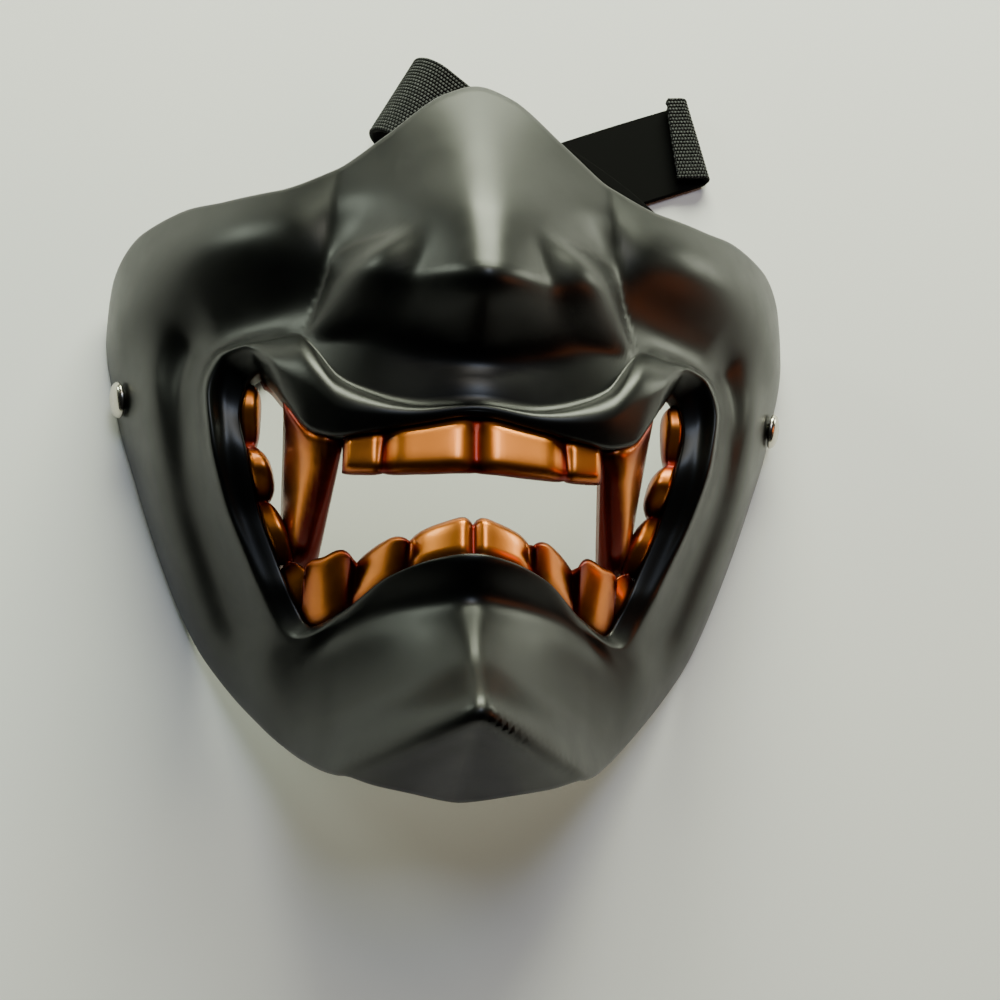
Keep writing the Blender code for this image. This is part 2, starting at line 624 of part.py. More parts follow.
def build_strap(name, side, under, collection, cutters, finish):
    """A straight strip of elastic, laid flat, lifted over `under`, then rolled at both ends."""
    beyond, fold_angle, fold_turn = STRAPS[side][4:]
    fold_radius = FOLD_RADIUS[side]
    along, line, heading = strap_route(side)
    end = along[-1]
    fold = end - beyond * STRAP_LENGTH
    marks = np.unique(np.round(np.concatenate([
        np.linspace(0, STRAP_START, 18),
        np.linspace(STRAP_START, fold - FOLD_LEAD, 7),
        np.linspace(fold - FOLD_LEAD, min(fold + pi * fold_radius + FOLD_TAIL, end), 16),
        [end]]), 6))
    centre = np.stack([np.interp(marks, along, line[:, axis]) for axis in (0, 1)], axis=-1)
    turned = np.interp(marks, along, heading)
    across = np.linspace(-0.5, 0.5, STRAP_COLUMNS) * STRAP_WIDTH
    sideways = np.stack([-np.sin(turned), np.cos(turned)], axis=-1)
    plan = centre[:, None, :] + across[:, None] * sideways[:, None, :]
    lift = np.zeros(plan.shape[:2])
    if under is not None:
        gap = np.linalg.norm(plan[:, :, None, :] - under[None, None], axis=-1).min(axis=-1)
        lift = (STRAP_THICKNESS + SEAT) * smooth_step((STRAP_WIDTH - gap) / (LIFT_BLEND * STRAP_WIDTH))
    place, outward, angle, _ = flank_bend(side)
    fold_place = np.array([np.interp(fold, along, line[:, axis]) for axis in (0, 1)])
    fold_out = np.array([cos(radians(fold_angle)), sin(radians(fold_angle))])
    faces = []
    for thickness in (STRAP_THICKNESS, 0.0):
        sheet = np.concatenate([plan, (lift + thickness)[..., None]], axis=-1)
        sheet = roll_up(sheet, place, outward, STRAP_BEND, angle)
        far = marks[:, None] > fold - STRAP_WIDTH
        rolled = roll_up(sheet, fold_place, fold_out, fold_radius, radians(fold_turn))
        faces.append(np.where(far[..., None], rolled, sheet))
    made = add_plate(name, faces[0], faces[1], finish, collection)
    cut(made, hole_cutter(name + "_hole", side, cutters))
    return line


def build_rivet(name, side, collection, finish):
    """A rivet turned about its axis: a domed head, a shank and a flange inside the strap."""
    head = RIVET_HEAD / 2
    inside = -(WALL + STRAP_STANDOFF + STRAP_THICKNESS + SEAT)
    flange = RIVET_FLANGE / 2
    shank = RIVET_SHANK / 2
    profile = [(0.0, SEAT + RIVET_DOME)]
    for share in DOME_RINGS:
        height = DOME_EDGE + (1 - DOME_EDGE) * (1 - share**2) ** 0.5
        profile.append((head * share, SEAT + RIVET_DOME * height))
    profile += [(head, SEAT), (shank, SEAT), (shank, inside), (flange, inside),
                (flange, inside - FLANGE_THICKNESS), (0.0, inside - FLANGE_THICKNESS)]
    mesh = bpy.data.meshes.new(name)
    mesh.from_pydata([(x, 0, z) for x, z in profile], [(i, i + 1) for i in range(len(profile) - 1)], [])
    made = bpy.data.objects.new(name, mesh)
    mesh.materials.append(finish)
    screw = made.modifiers.new("turned", "SCREW")
    screw.angle = 2 * pi
    screw.steps = screw.render_steps = RIVET_SIDES
    screw.use_merge_vertices = True
    screw.merge_threshold = 0.05 * MM
    screw.use_smooth_shade = True
    made.matrix_world = rivet_frame(side)
    collection.objects.link(made)
    return made


def middle_level(collection):
    """The level halfway between the lowest and the highest point of all the pieces."""
    bpy.context.view_layer.update()
    graph = bpy.context.evaluated_depsgraph_get()
    levels = []
    for piece in collection.objects:
        shape = piece.evaluated_get(graph)
        levels += [(shape.matrix_world @ vertex.co).y for vertex in shape.data.vertices]
    return (min(levels) + max(levels)) / 2


def main():
    for old in list(bpy.data.objects):
        bpy.data.objects.remove(old, do_unlink=True)
    collection = bpy.data.collections.new("samurai_face_guard")
    cutters = bpy.data.collections.new("cutters")
    bpy.context.scene.collection.children.link(collection)
    bpy.context.scene.collection.children.link(cutters)
    black = material("black_plastic", (0.012, 0.013, 0.012), 0.32, 0.0)
    gold = material("copper_gold_paint", (0.62, 0.27, 0.05), 0.3, 1.0)
    nickel = material("nickel", (0.55, 0.54, 0.52), 0.25, 1.0)
    elastic = material("woven_elastic", (0.012, 0.012, 0.013), 0.85, 0.0)
    build_shell(collection, cutters, black)
    for row in ("upper_teeth", "lower_teeth"):
        build_teeth(row, row, (-1, 1), collection, gold)
    for side, suffix in ((-1, "_left"), (1, "_right")):
        build_teeth("fang" + suffix, "fang", (side,), collection, gold)
        build_teeth("cheek_teeth" + suffix, "cheek_teeth", (side,), collection, gold)
        build_rivet("rivet" + suffix, side, collection, nickel)
    route = build_strap("strap_left", -1, None, collection, cutters, elastic)
    build_strap("strap_right", 1, route, collection, cutters, elastic)
    frame = bpy.data.objects.new("face_guard_frame", None)
    frame.location.y = -middle_level(collection)
    for piece in [*collection.objects, *cutters.objects]:
        piece.parent = frame
    collection.objects.link(frame)


if __name__ == "__main__":
    main()
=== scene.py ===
"""Dresses the samurai face guard: moulded shell, painted teeth, rivets, elastic straps and stage.

The guard lies on its back, face up. +Z is forward of the face, +Y is toward the forehead and +X is
the side on the viewer's right. Lengths are metres. The shell is a height over the plan (x, level);
level is measured from the nose tip and is moved by `LEVEL_SHIFT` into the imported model's frame.
"""
from math import cos, pi, radians, sin

import bmesh
import bpy
import numpy as np
from bpy.props import FloatProperty, PointerProperty, StringProperty
from mathutils import Matrix, Vector


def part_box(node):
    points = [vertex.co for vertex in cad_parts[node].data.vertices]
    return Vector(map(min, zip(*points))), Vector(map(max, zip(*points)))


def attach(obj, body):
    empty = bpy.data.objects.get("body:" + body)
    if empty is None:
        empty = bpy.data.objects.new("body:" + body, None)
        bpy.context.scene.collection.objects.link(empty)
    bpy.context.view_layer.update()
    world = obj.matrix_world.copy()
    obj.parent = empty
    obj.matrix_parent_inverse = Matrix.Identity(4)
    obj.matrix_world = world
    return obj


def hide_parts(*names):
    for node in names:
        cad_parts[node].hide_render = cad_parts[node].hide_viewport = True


bl_info = {
    "name": "Samurai face guard",
    "version": (1, 0, 0),
    "blender": (4, 5, 0),
    "location": "View3D > Sidebar > Face guard",
    "description": "Builds the dressed face guard around its packed frame",
    "category": "Object",
}

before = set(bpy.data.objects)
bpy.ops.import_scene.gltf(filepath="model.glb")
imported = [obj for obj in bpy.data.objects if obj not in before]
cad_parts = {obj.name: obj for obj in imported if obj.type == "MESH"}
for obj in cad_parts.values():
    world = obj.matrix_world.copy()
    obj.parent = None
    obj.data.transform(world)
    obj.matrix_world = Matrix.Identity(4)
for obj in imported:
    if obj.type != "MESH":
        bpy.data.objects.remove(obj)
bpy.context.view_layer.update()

MM = 0.001
SIDES = {-1: "_left", 1: "_right"}

# Sizes of the solids, but for the seat, taper and shade of the teeth, which are the scene's own
HALF_WIDTH = 89.3 * MM
FACE_LENGTH = 163.0 * MM
FACE_DEPTH = 68.0 * MM
TRIM = 1.5 * MM
NOSE_RISE = 22.0 * MM
NOSE_HALF_WIDTH = 36.0 * MM
NOSE_UNDERSIDE = 15.0 * MM
NOSE_FOOT = -10.0 * MM
FOOT_RISE = 0.8
NOSE_SLOPE = 1.15
BROW_LEVEL = 0.39
BROW_RISE = 0.22
BROW_WIDTH = 0.80
RIDGE_ROUNDING = 0.16
WING_PLACE = (28.5 * MM, 9.5 * MM)
WING_SLANT = 0.3
WING_OUTER = 9.0 * MM
WING_INNER = 13.0 * MM
WING_TALL = 11.5 * MM
WING_RISE = 6.5 * MM
CHIN_START = 0.34
CHIN_BLEND = 0.16
CHIN_ARCH = 8.5 * MM
CHIN_HALF_WIDTH = 28.0 * MM
ARCH_ROUNDING = 0.1
WEDGE_ROUNDING = 0.07
KEEL_BLEND = 0.08
KEEL_RISE = 1.0 * MM
KEEL_WIDTH = 4.0 * MM
MOUTH_HALF_WIDTH = 51.3 * MM
MOUTH_HEIGHT = 56.4 * MM
MOUTH_MIDDLE = -33.8 * MM
LIP_DEPTH = 6.0 * MM
LIP_WIDTH = 22.0 * MM
ROLL_RISE = 7.0 * MM
ROLL_UNDER = 0.55
ROLL_CREST = 0.8
RIDGE_RISE = 4.0 * MM
EDGE_DROP = 6.0 * MM
RIDGE_WIDTH = 2.6 * MM
FOLD_REACH = 30.0 * MM
FOLD_RISE = 3.0 * MM
FOLD_FADE = 0.2
SWELL_RISE = 5.0 * MM
TOOTH_LENGTH = 25.0 * MM
TOOTH_THICKNESS = 4.0 * MM
TOOTH_SEAT = -0.4 * MM   # teeth sunk into the lip
TOOTH_ROOT = 0.4
FANG_TAPER = 0.36   # how far a fang narrows toward its tip
FANG_FOCUS = 1.05   # share of its width that it narrows toward
FANG_SHADE = 0.9    # strength of the painted shade on its inner facet
SEAT = 0.4 * MM
RIVET_HEIGHT = 9.0 * MM
RIVET_HEAD = 9.0 * MM
RIVET_DOME = 2.2 * MM
DOME_EDGE = 0.25
RIVET_SHANK = 4.0 * MM
RIVET_FLANGE = 7.0 * MM
FLANGE_THICKNESS = 0.8 * MM
STRAP_WIDTH = 25.0 * MM
STRAP_THICKNESS = 1.6 * MM
STRAP_LENGTH = 173.0 * MM
STRAP_STANDOFF = 1.9 * MM
STRAP_TAB = 8.0 * MM
STRAP_BEND = 3.5 * MM
FOLD_RADIUS = {-1: 2.3 * MM, 1: 9.5 * MM}
LIFT_BLEND = 0.35

# Mesh fineness
COLUMNS_PER_STATION = 10
LIP_RINGS = 18
FACE_RINGS = 46
WALL_RINGS = 6
EDGE_RINGS = 5
TOOTH_COLUMNS = 17
TOOTH_RINGS = 16
RIVET_SIDES = 48
CORD_SAMPLES = 4
ARC_SAMPLES = 161
NORMAL_PASSES = 6
WALL_PASSES = 8

# Crown of a tooth: shares of its length where it has risen and where it and the edge fall
CROWN_RISE = 0.2
CROWN_ROOT = 0.35   # share of its height that it has at the root
CROWN_FALL = 0.55
TIP_START = 0.8
BEVEL_WIDTH = 1.4   # share of the half width that a flat top's bevel takes at squareness 0
BEVEL_LOSS = 0.16   # what each unit of squareness takes off it

# Rivet's head: dimple and rolled rim as shares of the dome's height and the head's radius
DIMPLE_DEPTH = 0.16
DIMPLE_WIDTH = 0.28
RIM_HEIGHT = 0.12
RIM_UNDERCUT = 0.95

# Close rows of a strap, by its bend and its fold, as shares of its length and of the fold's turn
BEND_STRETCH = 0.23
FOLD_LEAD = 0.08
FOLD_TAIL = 1.3

FRAY_DEPTH = 0.7 * MM
SELVEDGE = 0.3         # rounding of a strap's edge, as a share of its thickness
CORD_SHARPNESS = 0.6   # power of the wave that rounds a cord, 1 for a sine

# Sections of the body from brow to chin, as shares of FACE_LENGTH, HALF_WIDTH and FACE_DEPTH
SECTIONS = (
    # level, half width, front, fullness
    (0.395, 0.950, 0.81, 1.90),
    (0.220, 1.000, 0.91, 1.80),
    (0.123, 1.000, 0.96, 1.75),
    (0.000, 0.958, 0.99, 1.75),
    (-0.123, 0.882, 1.00, 1.90),
    (-0.221, 0.815, 0.97, 1.45),
    (-0.307, 0.748, 0.99, 1.10),
    (-0.365, 0.697, 0.92, 1.05),
    (-0.442, 0.620, 1.02, 1.05),
    (-0.527, 0.520, 1.21, 1.10),
    (-0.552, 0.503, 1.05, 1.10),
    (-0.575, 0.489, 0.87, 1.15),
    (-0.597, 0.476, 0.67, 1.25),
    (-0.620, 0.462, 0.48, 1.60),
)

# Stations around the half of the mouth on the viewer's right, upper lip's middle to lower lip's,
# as shares of the mouth's, face's and lip's sizes
STATIONS = (
    # mouth x, mouth level, rim level, reach, lip, roll, ridge, drop
    (0.000, 0.230, 0.390, 0.000, 0.11, 0.14, 0.0, 0.0),
    (0.222, 0.200, 0.372, 0.095, 0.17, 0.26, 0.0, 0.0),
    (0.429, 0.168, 0.303, 0.240, 0.38, 0.62, 0.0, 0.0),
    (0.560, 0.158, 0.254, 0.370, 0.62, 0.86, 0.0, 0.0),
    (0.682, 0.190, 0.230, 0.510, 1.12, 1.00, 0.0, 0.0),
    (0.784, 0.305, 0.232, 0.640, 0.82, 0.95, 0.3, 0.0),
    (0.870, 0.431, 0.244, 0.770, 0.50, 0.75, 0.6, 0.3),
    (0.925, 0.495, 0.242, 0.890, 0.32, 0.45, 0.9, 0.6),
    (0.980, 0.470, 0.195, 0.985, 0.37, 0.15, 1.0, 0.9),
    (1.000, 0.360, 0.092, 1.000, 0.43, 0.00, 1.0, 1.0),
    (0.960, 0.191, -0.030, 1.000, 0.44, 0.00, 0.9, 1.0),
    (0.905, -0.004, -0.150, 1.000, 0.39, 0.00, 0.7, 0.9),
    (0.800, -0.234, -0.270, 1.000, 0.33, 0.00, 0.4, 0.8),
    (0.722, -0.390, -0.365, 0.990, 0.28, 0.00, 0.2, 0.6),
    (0.640, -0.480, -0.448, 0.940, 0.24, 0.00, 0.1, 0.5),
    (0.510, -0.434, -0.509, 0.874, 0.21, 0.00, 0.0, 0.4),
    (0.331, -0.342, -0.564, 0.687, 0.21, 0.00, 0.0, 0.2),
    (0.144, -0.301, -0.598, 0.384, 0.21, 0.00, 0.0, 0.1),
    (0.000, -0.289, -0.609, 0.000, 0.21, 0.00, 0.0, 0.1),
)
LOOP = 2 * (len(STATIONS) - 1)

# Folds beside the mouth: stations, then shares of FOLD_REACH and a share of FOLD_RISE
FOLDS = (
    # first, last, distance at first, distance at last, width, lift
    (7.0, 14.0, 0.70, 0.43, 0.17, -1.0),
    (8.0, 14.5, 1.00, 0.70, 0.20, 0.5),
    (14.5, 18.0, 0.22, 0.27, 0.15, -0.5),
)

# Swells, alike on both sides: shares of HALF_WIDTH, FACE_LENGTH and SWELL_RISE
SWELLS = (
    # x, level, radius in x, radius in level, lift
    (0.56, 0.050, 0.34, 0.061, -0.9),
    (0.63, 0.160, 0.34, 0.080, 0.95),
    (0.00, -0.090, 0.11, 0.045, 0.5),
    (0.49, -0.448, 0.067, 0.086, 0.4),
    (0.32, 0.150, 0.090, 0.043, -0.5),
)

# Straps by the side of their rivet, lengths as shares of STRAP_LENGTH, angles in degrees
STRAPS = {
    # side: first heading, last heading, turn start, turn length, beyond, fold faces, fold turns
    -1: (35.4, 22.0, 0.173, 0.845, 0.076, 14.0, 180.0),
    1: (121.0, 159.0, 0.104, 0.665, 0.450, 153.0, 191.0),
}

# Teeth on the viewer's right: stations, direction in degrees and shares of TOOTH_LENGTH and
# TOOTH_THICKNESS. The crown's ridge runs from one share of the tooth's width at the root to
# another at the tip, and is sharper toward 1.
TEETH = (
    # row, first, last, aim, near, middle, far, squareness, lean, bulge, ridge root, tip, sharp
    ("upper_teeth", 0.00, 1.72, -90, 0.49, 0.45, 0.37, 6.0, 0.04, 0.40, 0.50, 0.50, 0.0),
    ("upper_teeth", 1.72, 2.90, -90, 0.36, 0.34, 0.30, 6.0, 0.00, 0.30, 0.50, 0.50, 0.0),
    ("fang", 2.86, 5.30, -90, 0.94, 1.02, 0.96, 5.0, -1.16, 1.10, 0.25, 0.72, 1.0),
    ("fang", 5.30, 7.00, -120, 0.14, 0.20, 0.10, 2.4, -0.04, 0.50, 0.50, 0.50, 0.3),
    ("cheek_teeth", 7.80, 9.75, 180, 0.06, 0.19, 0.11, 2.4, 0.00, 0.80, 0.50, 0.50, 0.5),
    ("cheek_teeth", 9.75, 10.85, 180, 0.11, 0.22, 0.12, 2.8, 0.02, 0.90, 0.50, 0.50, 0.5),
    ("cheek_teeth", 10.85, 11.95, 172, 0.12, 0.21, 0.13, 2.8, 0.04, 0.90, 0.50, 0.50, 0.5),
    ("lower_teeth", 12.05, 13.20, 145, 0.12, 0.26, 0.18, 2.4, 0.16, 0.40, 0.50, 0.50, 0.2),
    ("lower_teeth", 13.20, 15.05, 95, 0.32, 0.60, 0.40, 2.8, 0.40, 0.60, 0.70, 0.45, 0.7),
    ("lower_teeth", 15.05, 16.30, 96, 0.38, 0.39, 0.25, 3.5, 0.20, 0.45, 0.50, 0.50, 0.1),
    ("lower_teeth", 16.30, 18.00, 90, 0.24, 0.36, 0.31, 6.0, -0.04, 0.40, 0.50, 0.50, 0.0),
)

LEVEL_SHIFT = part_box("shell")[0].y - STATIONS[-1][2] * FACE_LENGTH

# Camera that sees the guard as the photograph does, from below the chin and a little to the left
CAMERA_DISTANCE = 380.0 * MM
CAMERA_TARGET = (13.27 * MM, -19.17 * MM)
CAMERA_TURN = (radians(6.62), radians(16.19), radians(-0.49))
LENS_SHARE = 1.4711   # focal length as a share of the sensor's width
SENSOR = 36.0
LAMP_AIM = Vector((0, 0, 40 * MM))
AIR_STRENGTH = 0.012


class ShellSettings(bpy.types.PropertyGroup):
    wall: FloatProperty(
        name="Wall", description="Thickness of the moulded plastic", default=2.6 * MM,
        min=1.0 * MM, max=4.0 * MM, unit="LENGTH")
    edge_rounding: FloatProperty(
        name="Edge rounding", description="Radius along the mouth's edge", default=0.9 * MM,
        min=0.1 * MM, max=1.5 * MM, unit="LENGTH")
    colour: StringProperty(
        name="Plastic colour", description="sRGB hex of the plastic", default="#060706")
    roughness: FloatProperty(
        name="Roughness", description="Roughness of the moulded face", default=0.36,
        min=0.05, max=1.0, subtype="FACTOR")


class TeethSettings(bpy.types.PropertyGroup):
    colour: StringProperty(
        name="Gold colour", description="sRGB hex of the metallic paint", default="#f49340")
    # The groove colour is painted shade, laid into the grooves, roots, tips and undersides of the
    # teeth
    shade: StringProperty(
        name="Groove colour", description="sRGB hex where the paint pools", default="#701804")
    roughness: FloatProperty(
        name="Roughness", description="Roughness of the paint", default=0.36,
        min=0.05, max=1.0, subtype="FACTOR")


class RivetSettings(bpy.types.PropertyGroup):
    colour: StringProperty(
        name="Nickel colour", description="sRGB hex of the plating", default="#c9c4b8")


class StrapSettings(bpy.types.PropertyGroup):
    cord_spacing: FloatProperty(
        name="Cord spacing", description="Distance between the lengthwise cords",
        default=1.05 * MM, min=0.8 * MM, max=3.0 * MM, unit="LENGTH")
    cord_relief: FloatProperty(
        name="Cord relief", description="Height of a cord above the grooves beside it",
        default=0.22 * MM, min=0.0, max=0.5 * MM, unit="LENGTH")
    # Painted sheen: the grey that the ribbed face's loops are lit to; the gaps and the smooth face
    # keep the inner colour
    loop_sheen_colour: StringProperty(
        name="Outer colour", description="sRGB hex of the ribbed face", default="#5a5c5b")
    inner_colour: StringProperty(
        name="Inner colour", description="sRGB hex of the smooth face", default="#030303")


class StageSettings(bpy.types.PropertyGroup):
    floor_size: FloatProperty(
        name="Floor size", description="Side of the floor", default=6.0, min=1.0, unit="LENGTH")
    floor_colour: StringProperty(
        name="Floor colour", description="sRGB hex of the floor", default="#fbfbfa")
    light: FloatProperty(
        name="Light", description="Strength of all the lamps", default=1.0, min=0.0)


def smooth_curve(rows, at):
    """Values at `at` on a monotone cubic through rows of (parameter, value, ...)."""
    rows = np.asarray(sorted(rows), dtype=float)
    knots = rows[:, 0]
    values = rows[:, 1:]
    gaps = np.diff(knots)[:, None]
    rises = np.diff(values, axis=0) / gaps
    before = rises[:-1]
    after = rises[1:]
    same_way = before * after > 0
    total = np.where(same_way, before + after, 1.0)
    slopes = np.zeros_like(values)
    slopes[1:-1] = np.where(same_way, 2 * before * after / total, 0.0)
    slopes[0] = rises[0]
    slopes[-1] = rises[-1]
    at = np.clip(np.asarray(at, dtype=float), knots[0], knots[-1])
    index = np.clip(np.searchsorted(knots, at, side="right") - 1, 0, len(knots) - 2)
    gap = gaps[index, 0][..., None]
    t = ((at - knots[index]) / gap[..., 0])[..., None]
    return ((2 * t**3 - 3 * t**2 + 1) * values[index]
            + (t**3 - 2 * t**2 + t) * slopes[index] * gap
            + (3 * t**2 - 2 * t**3) * values[index + 1]
            + (t**3 - t**2) * slopes[index + 1] * gap)


def smooth_step(t):
    """0 below 0, 1 above 1 and 3t^2 - 2t^3 between them."""
    t = np.clip(t, 0.0, 1.0)
    return t * t * (3 - 2 * t)


def soft_share(x, half_width, rounding):
    """|x| / half width from 0 to 1, with a hyperbola's round foot at 0."""
    share = np.clip(np.abs(x) / half_width, 0.0, 1.0)
    return (np.sqrt(share**2 + rounding**2) - rounding) / (np.sqrt(1 + rounding**2) - rounding)


def bell(t):
    """exp(-t^2)."""
    return np.exp(-t * t)


def unit(vectors):
    """Vectors over their lengths."""
    return vectors / np.linalg.norm(vectors, axis=-1, keepdims=True)


def stations_at(turn):
    """Mouth point, rim point, lip width, roll, ridge and drop on the loop of mirrored stations."""
    last = len(STATIONS) - 1
    turn = np.asarray(turn, dtype=float) % LOOP
    side = np.where(turn > last, -1.0, 1.0)
    half_turn = np.where(turn > last, LOOP - turn, turn)
    rows = []
    for index in range(-2, last + 3):
        mirrored = abs(index) if index <= last else LOOP - index
        sign = 1.0 if 0 <= index <= last else -1.0
        x, level, rim_level, reach, *lip = STATIONS[mirrored]
        rows.append((index, sign * x, level, rim_level, sign * reach, *lip))
    found = smooth_curve(rows, half_turn)
    rim_level = found[..., 2] * FACE_LENGTH
    half_width = sections_at(rim_level)[0]
    reach = np.clip(found[..., 3], 0.0, 1.0)
    return (side * found[..., 0] * MOUTH_HALF_WIDTH,
            MOUTH_MIDDLE + found[..., 1] * MOUTH_HEIGHT,
            side * reach * half_width,
            rim_level,
            found[..., 4] * LIP_WIDTH,
            found[..., 5] * ROLL_RISE,
            found[..., 6] * RIDGE_RISE,
            found[..., 7] * EDGE_DROP)


def sections_at(level):
    """Half width, front height and fullness of the body at a level."""
    found = smooth_curve(SECTIONS, level / FACE_LENGTH)
    return found[..., 0] * HALF_WIDTH, found[..., 1] * FACE_DEPTH, found[..., 2]


def body_height(x, level):
    """front * (1 - (|x| / half width)^fullness)^(2/3), less what the flanks are trimmed."""
    arch = CHIN_ARCH * soft_share(x, CHIN_HALF_WIDTH, ARCH_ROUNDING) ** 0.75
    arch = arch * smooth_step((-level / FACE_LENGTH - CHIN_START) / CHIN_BLEND)
    half_width, _, fullness = sections_at(level)
    front = sections_at(level + arch)[1]
    share = soft_share(x, half_width, WEDGE_ROUNDING)
    return (front + TRIM) * (1 - share**fullness) ** (2 / 3) - TRIM


def nose_height(x, level):
    """rise * (1 - |x| / half width)^slope, times a smooth step up from the foot of the nose."""
    along = np.clip(1 - level / (BROW_LEVEL * FACE_LENGTH), 0.0, 1.0)
    rise = NOSE_RISE * (BROW_RISE + (1 - BROW_RISE) * along)
    half_width = NOSE_HALF_WIDTH * (BROW_WIDTH + (1 - BROW_WIDTH) * along)
    share = soft_share(x, half_width, RIDGE_ROUNDING)
    foot = NOSE_FOOT * (1 - FOOT_RISE * share)
    return rise * (1 - share) ** NOSE_SLOPE * smooth_step((level - foot) / NOSE_UNDERSIDE)


def wing_height(x, level):
    """(1 - s^2)^0.7 outside a slanting crest, (1 - s^2)^2 inside, times (1 - t^2)^1.5 in level."""
    off = np.abs(x) - (WING_PLACE[0] - WING_SLANT * level)
    outer = np.clip(1 - (off / WING_OUTER) ** 2, 0.0, 1.0) ** 0.7
    inner = np.clip(1 - (off / WING_INNER) ** 2, 0.0, 1.0) ** 2
    tall = np.clip(1 - ((level - WING_PLACE[1]) / WING_TALL) ** 2, 0.0, 1.0) ** 1.5
    return WING_RISE * np.where(off > 0, outer, inner) * tall


def keel_height(x, level):
    """A bell across the middle of the chin."""
    along = smooth_step((-level / FACE_LENGTH - CHIN_START) / KEEL_BLEND)
    return KEEL_RISE * along * bell(x / KEEL_WIDTH)


def swell_height(x, level):
    """The sum of the bells in SWELLS."""
    height = np.zeros_like(x)
    for centre, middle, radius, tall, lift in SWELLS:
        share = ((np.abs(x) / HALF_WIDTH - centre) / radius) ** 2
        share = share + ((level / FACE_LENGTH - middle) / tall) ** 2
        height = height + lift * SWELL_RISE * bell(np.sqrt(share))
    return height


def fold_height(turn, distance, lip, roll, ridge, drop):
    """The lip's roll and ridge by the distance from the mouth's edge, and the bells of FOLDS."""
    last = len(STATIONS) - 1
    half_turn = np.minimum(turn % LOOP, LOOP - turn % LOOP)
    share = np.clip(distance / lip, 0.0, 1.0)
    turned_under = 1 - ROLL_UNDER * np.clip(1 - share / ROLL_CREST, 0.0, 1.0) ** 2
    height = roll * turned_under * (1 - share**3.0) ** 0.8 - drop * (1 - share) ** 1.3
    height = height + ridge * bell((distance - lip) / RIDGE_WIDTH)
    for first, end, near, far, width, lift in FOLDS:
        along = (half_turn - first) / (end - first)
        centre = (near + (far - near) * np.clip(along, 0, 1)) * FOLD_REACH
        window = smooth_step(along / FOLD_FADE)
        if end < last:
            window = window * smooth_step((1 - along) / FOLD_FADE)
        across = (distance - centre) / (width * FOLD_REACH)
        height = height + lift * FOLD_RISE * window * bell(across)
    return height


def shell_surface(turns, lip_rings, face_rings):
    """The outer face as a grid: straight lines in plan from the mouth's edge to the rim.

    The first rings end at the lip's outer crease and the others at the rim, and each group is
    evenly spaced by arc length over the height function.
    """
    mouth_x, mouth_level, rim_x, rim_level, lip, roll, ridge, drop = (
        value[:, None] for value in stations_at(turns))
    whole = np.hypot(rim_x - mouth_x, rim_level - mouth_level)

    def points(share):
        x = mouth_x + (rim_x - mouth_x) * share
        level = mouth_level + (rim_level - mouth_level) * share
        distance = np.hypot(x - mouth_x, level - mouth_level)
        turn = np.broadcast_to(turns[:, None], x.shape)
        height = (body_height(x, level) + nose_height(x, level) + wing_height(x, level)
                  + keel_height(x, level) + swell_height(x, level)
                  + fold_height(turn, distance, lip, roll, ridge, drop))
        return np.stack([x, level, height], axis=-1)

    def even_shares(start, end, rings):
        fine = 1 - (1 - np.linspace(0, 1, ARC_SAMPLES)) ** 2
        share = start + (end - start) * fine
        steps = np.linalg.norm(np.diff(points(share), axis=1), axis=-1)
        length = np.concatenate([np.zeros((len(turns), 1)), np.cumsum(steps, axis=1)], axis=1)
        length = length / length[:, -1:]
        column = np.arange(len(turns))[:, None] * 2.0
        wanted = np.linspace(0, 1, rings + 1)
        even = np.interp((column + wanted).ravel(), (column + length).ravel(), share.ravel())
        even = even.reshape(len(turns), rings + 1)
        even[:, :1] = start
        even[:, -1:] = end
        return even

    crease = lip / whole
    inner = even_shares(np.zeros_like(crease), crease, lip_rings)
    outer = even_shares(crease, np.ones_like(crease), face_rings)
    return points(np.concatenate([inner, outer[:, 1:]], axis=1))


def grid_normals(points):
    """Unit normals of a grid of closed columns: the cross product of its central differences."""
    across = np.roll(points, -1, axis=0) - np.roll(points, 1, axis=0)
    return unit(np.cross(across, np.gradient(points, axis=1)))


def grid_faces(rows, columns, closed_rows, closed_columns=False):
    """Quads of a grid that wraps around where it is closed."""
    row = np.arange(rows if closed_rows else rows - 1)[:, None]
    column = np.arange(columns if closed_columns else columns - 1)[None, :]
    next_row = (row + 1) % rows
    next_column = (column + 1) % columns
    return np.stack([row * columns + column, next_row * columns + column,
                     next_row * columns + next_column, row * columns + next_column],
                    axis=-1).reshape(-1, 4)


def srgb(hex_colour):
    """Linear colour of an sRGB hex value: each channel through the sRGB curve."""
    value = np.array([int(hex_colour[i:i + 2], 16) for i in (1, 3, 5)]) / 255
    linear = np.where(value <= 0.04045, value / 12.92, ((value + 0.055) / 1.055) ** 2.4)
    return (*linear.tolist(), 1.0)


def node(tree, kind, settings=(), links=(), **inputs):
    """Adds a node, with attributes from `settings`, socket values from `inputs` and its links."""
    made = tree.nodes.new("ShaderNode" + kind)
    for key, value in dict(settings).items():
        setattr(made, key, value)
    for key, value in inputs.items():
        made.inputs[key.replace("_", " ")].default_value = value
    for socket, source in dict(links).items():
        tree.links.new(source, made.inputs[socket])
    return made


def new_material(name):
    """A material with an empty node tree."""
    made = bpy.data.materials.new(name)
    made.use_nodes = True
    made.node_tree.nodes.clear()
    return made, made.node_tree


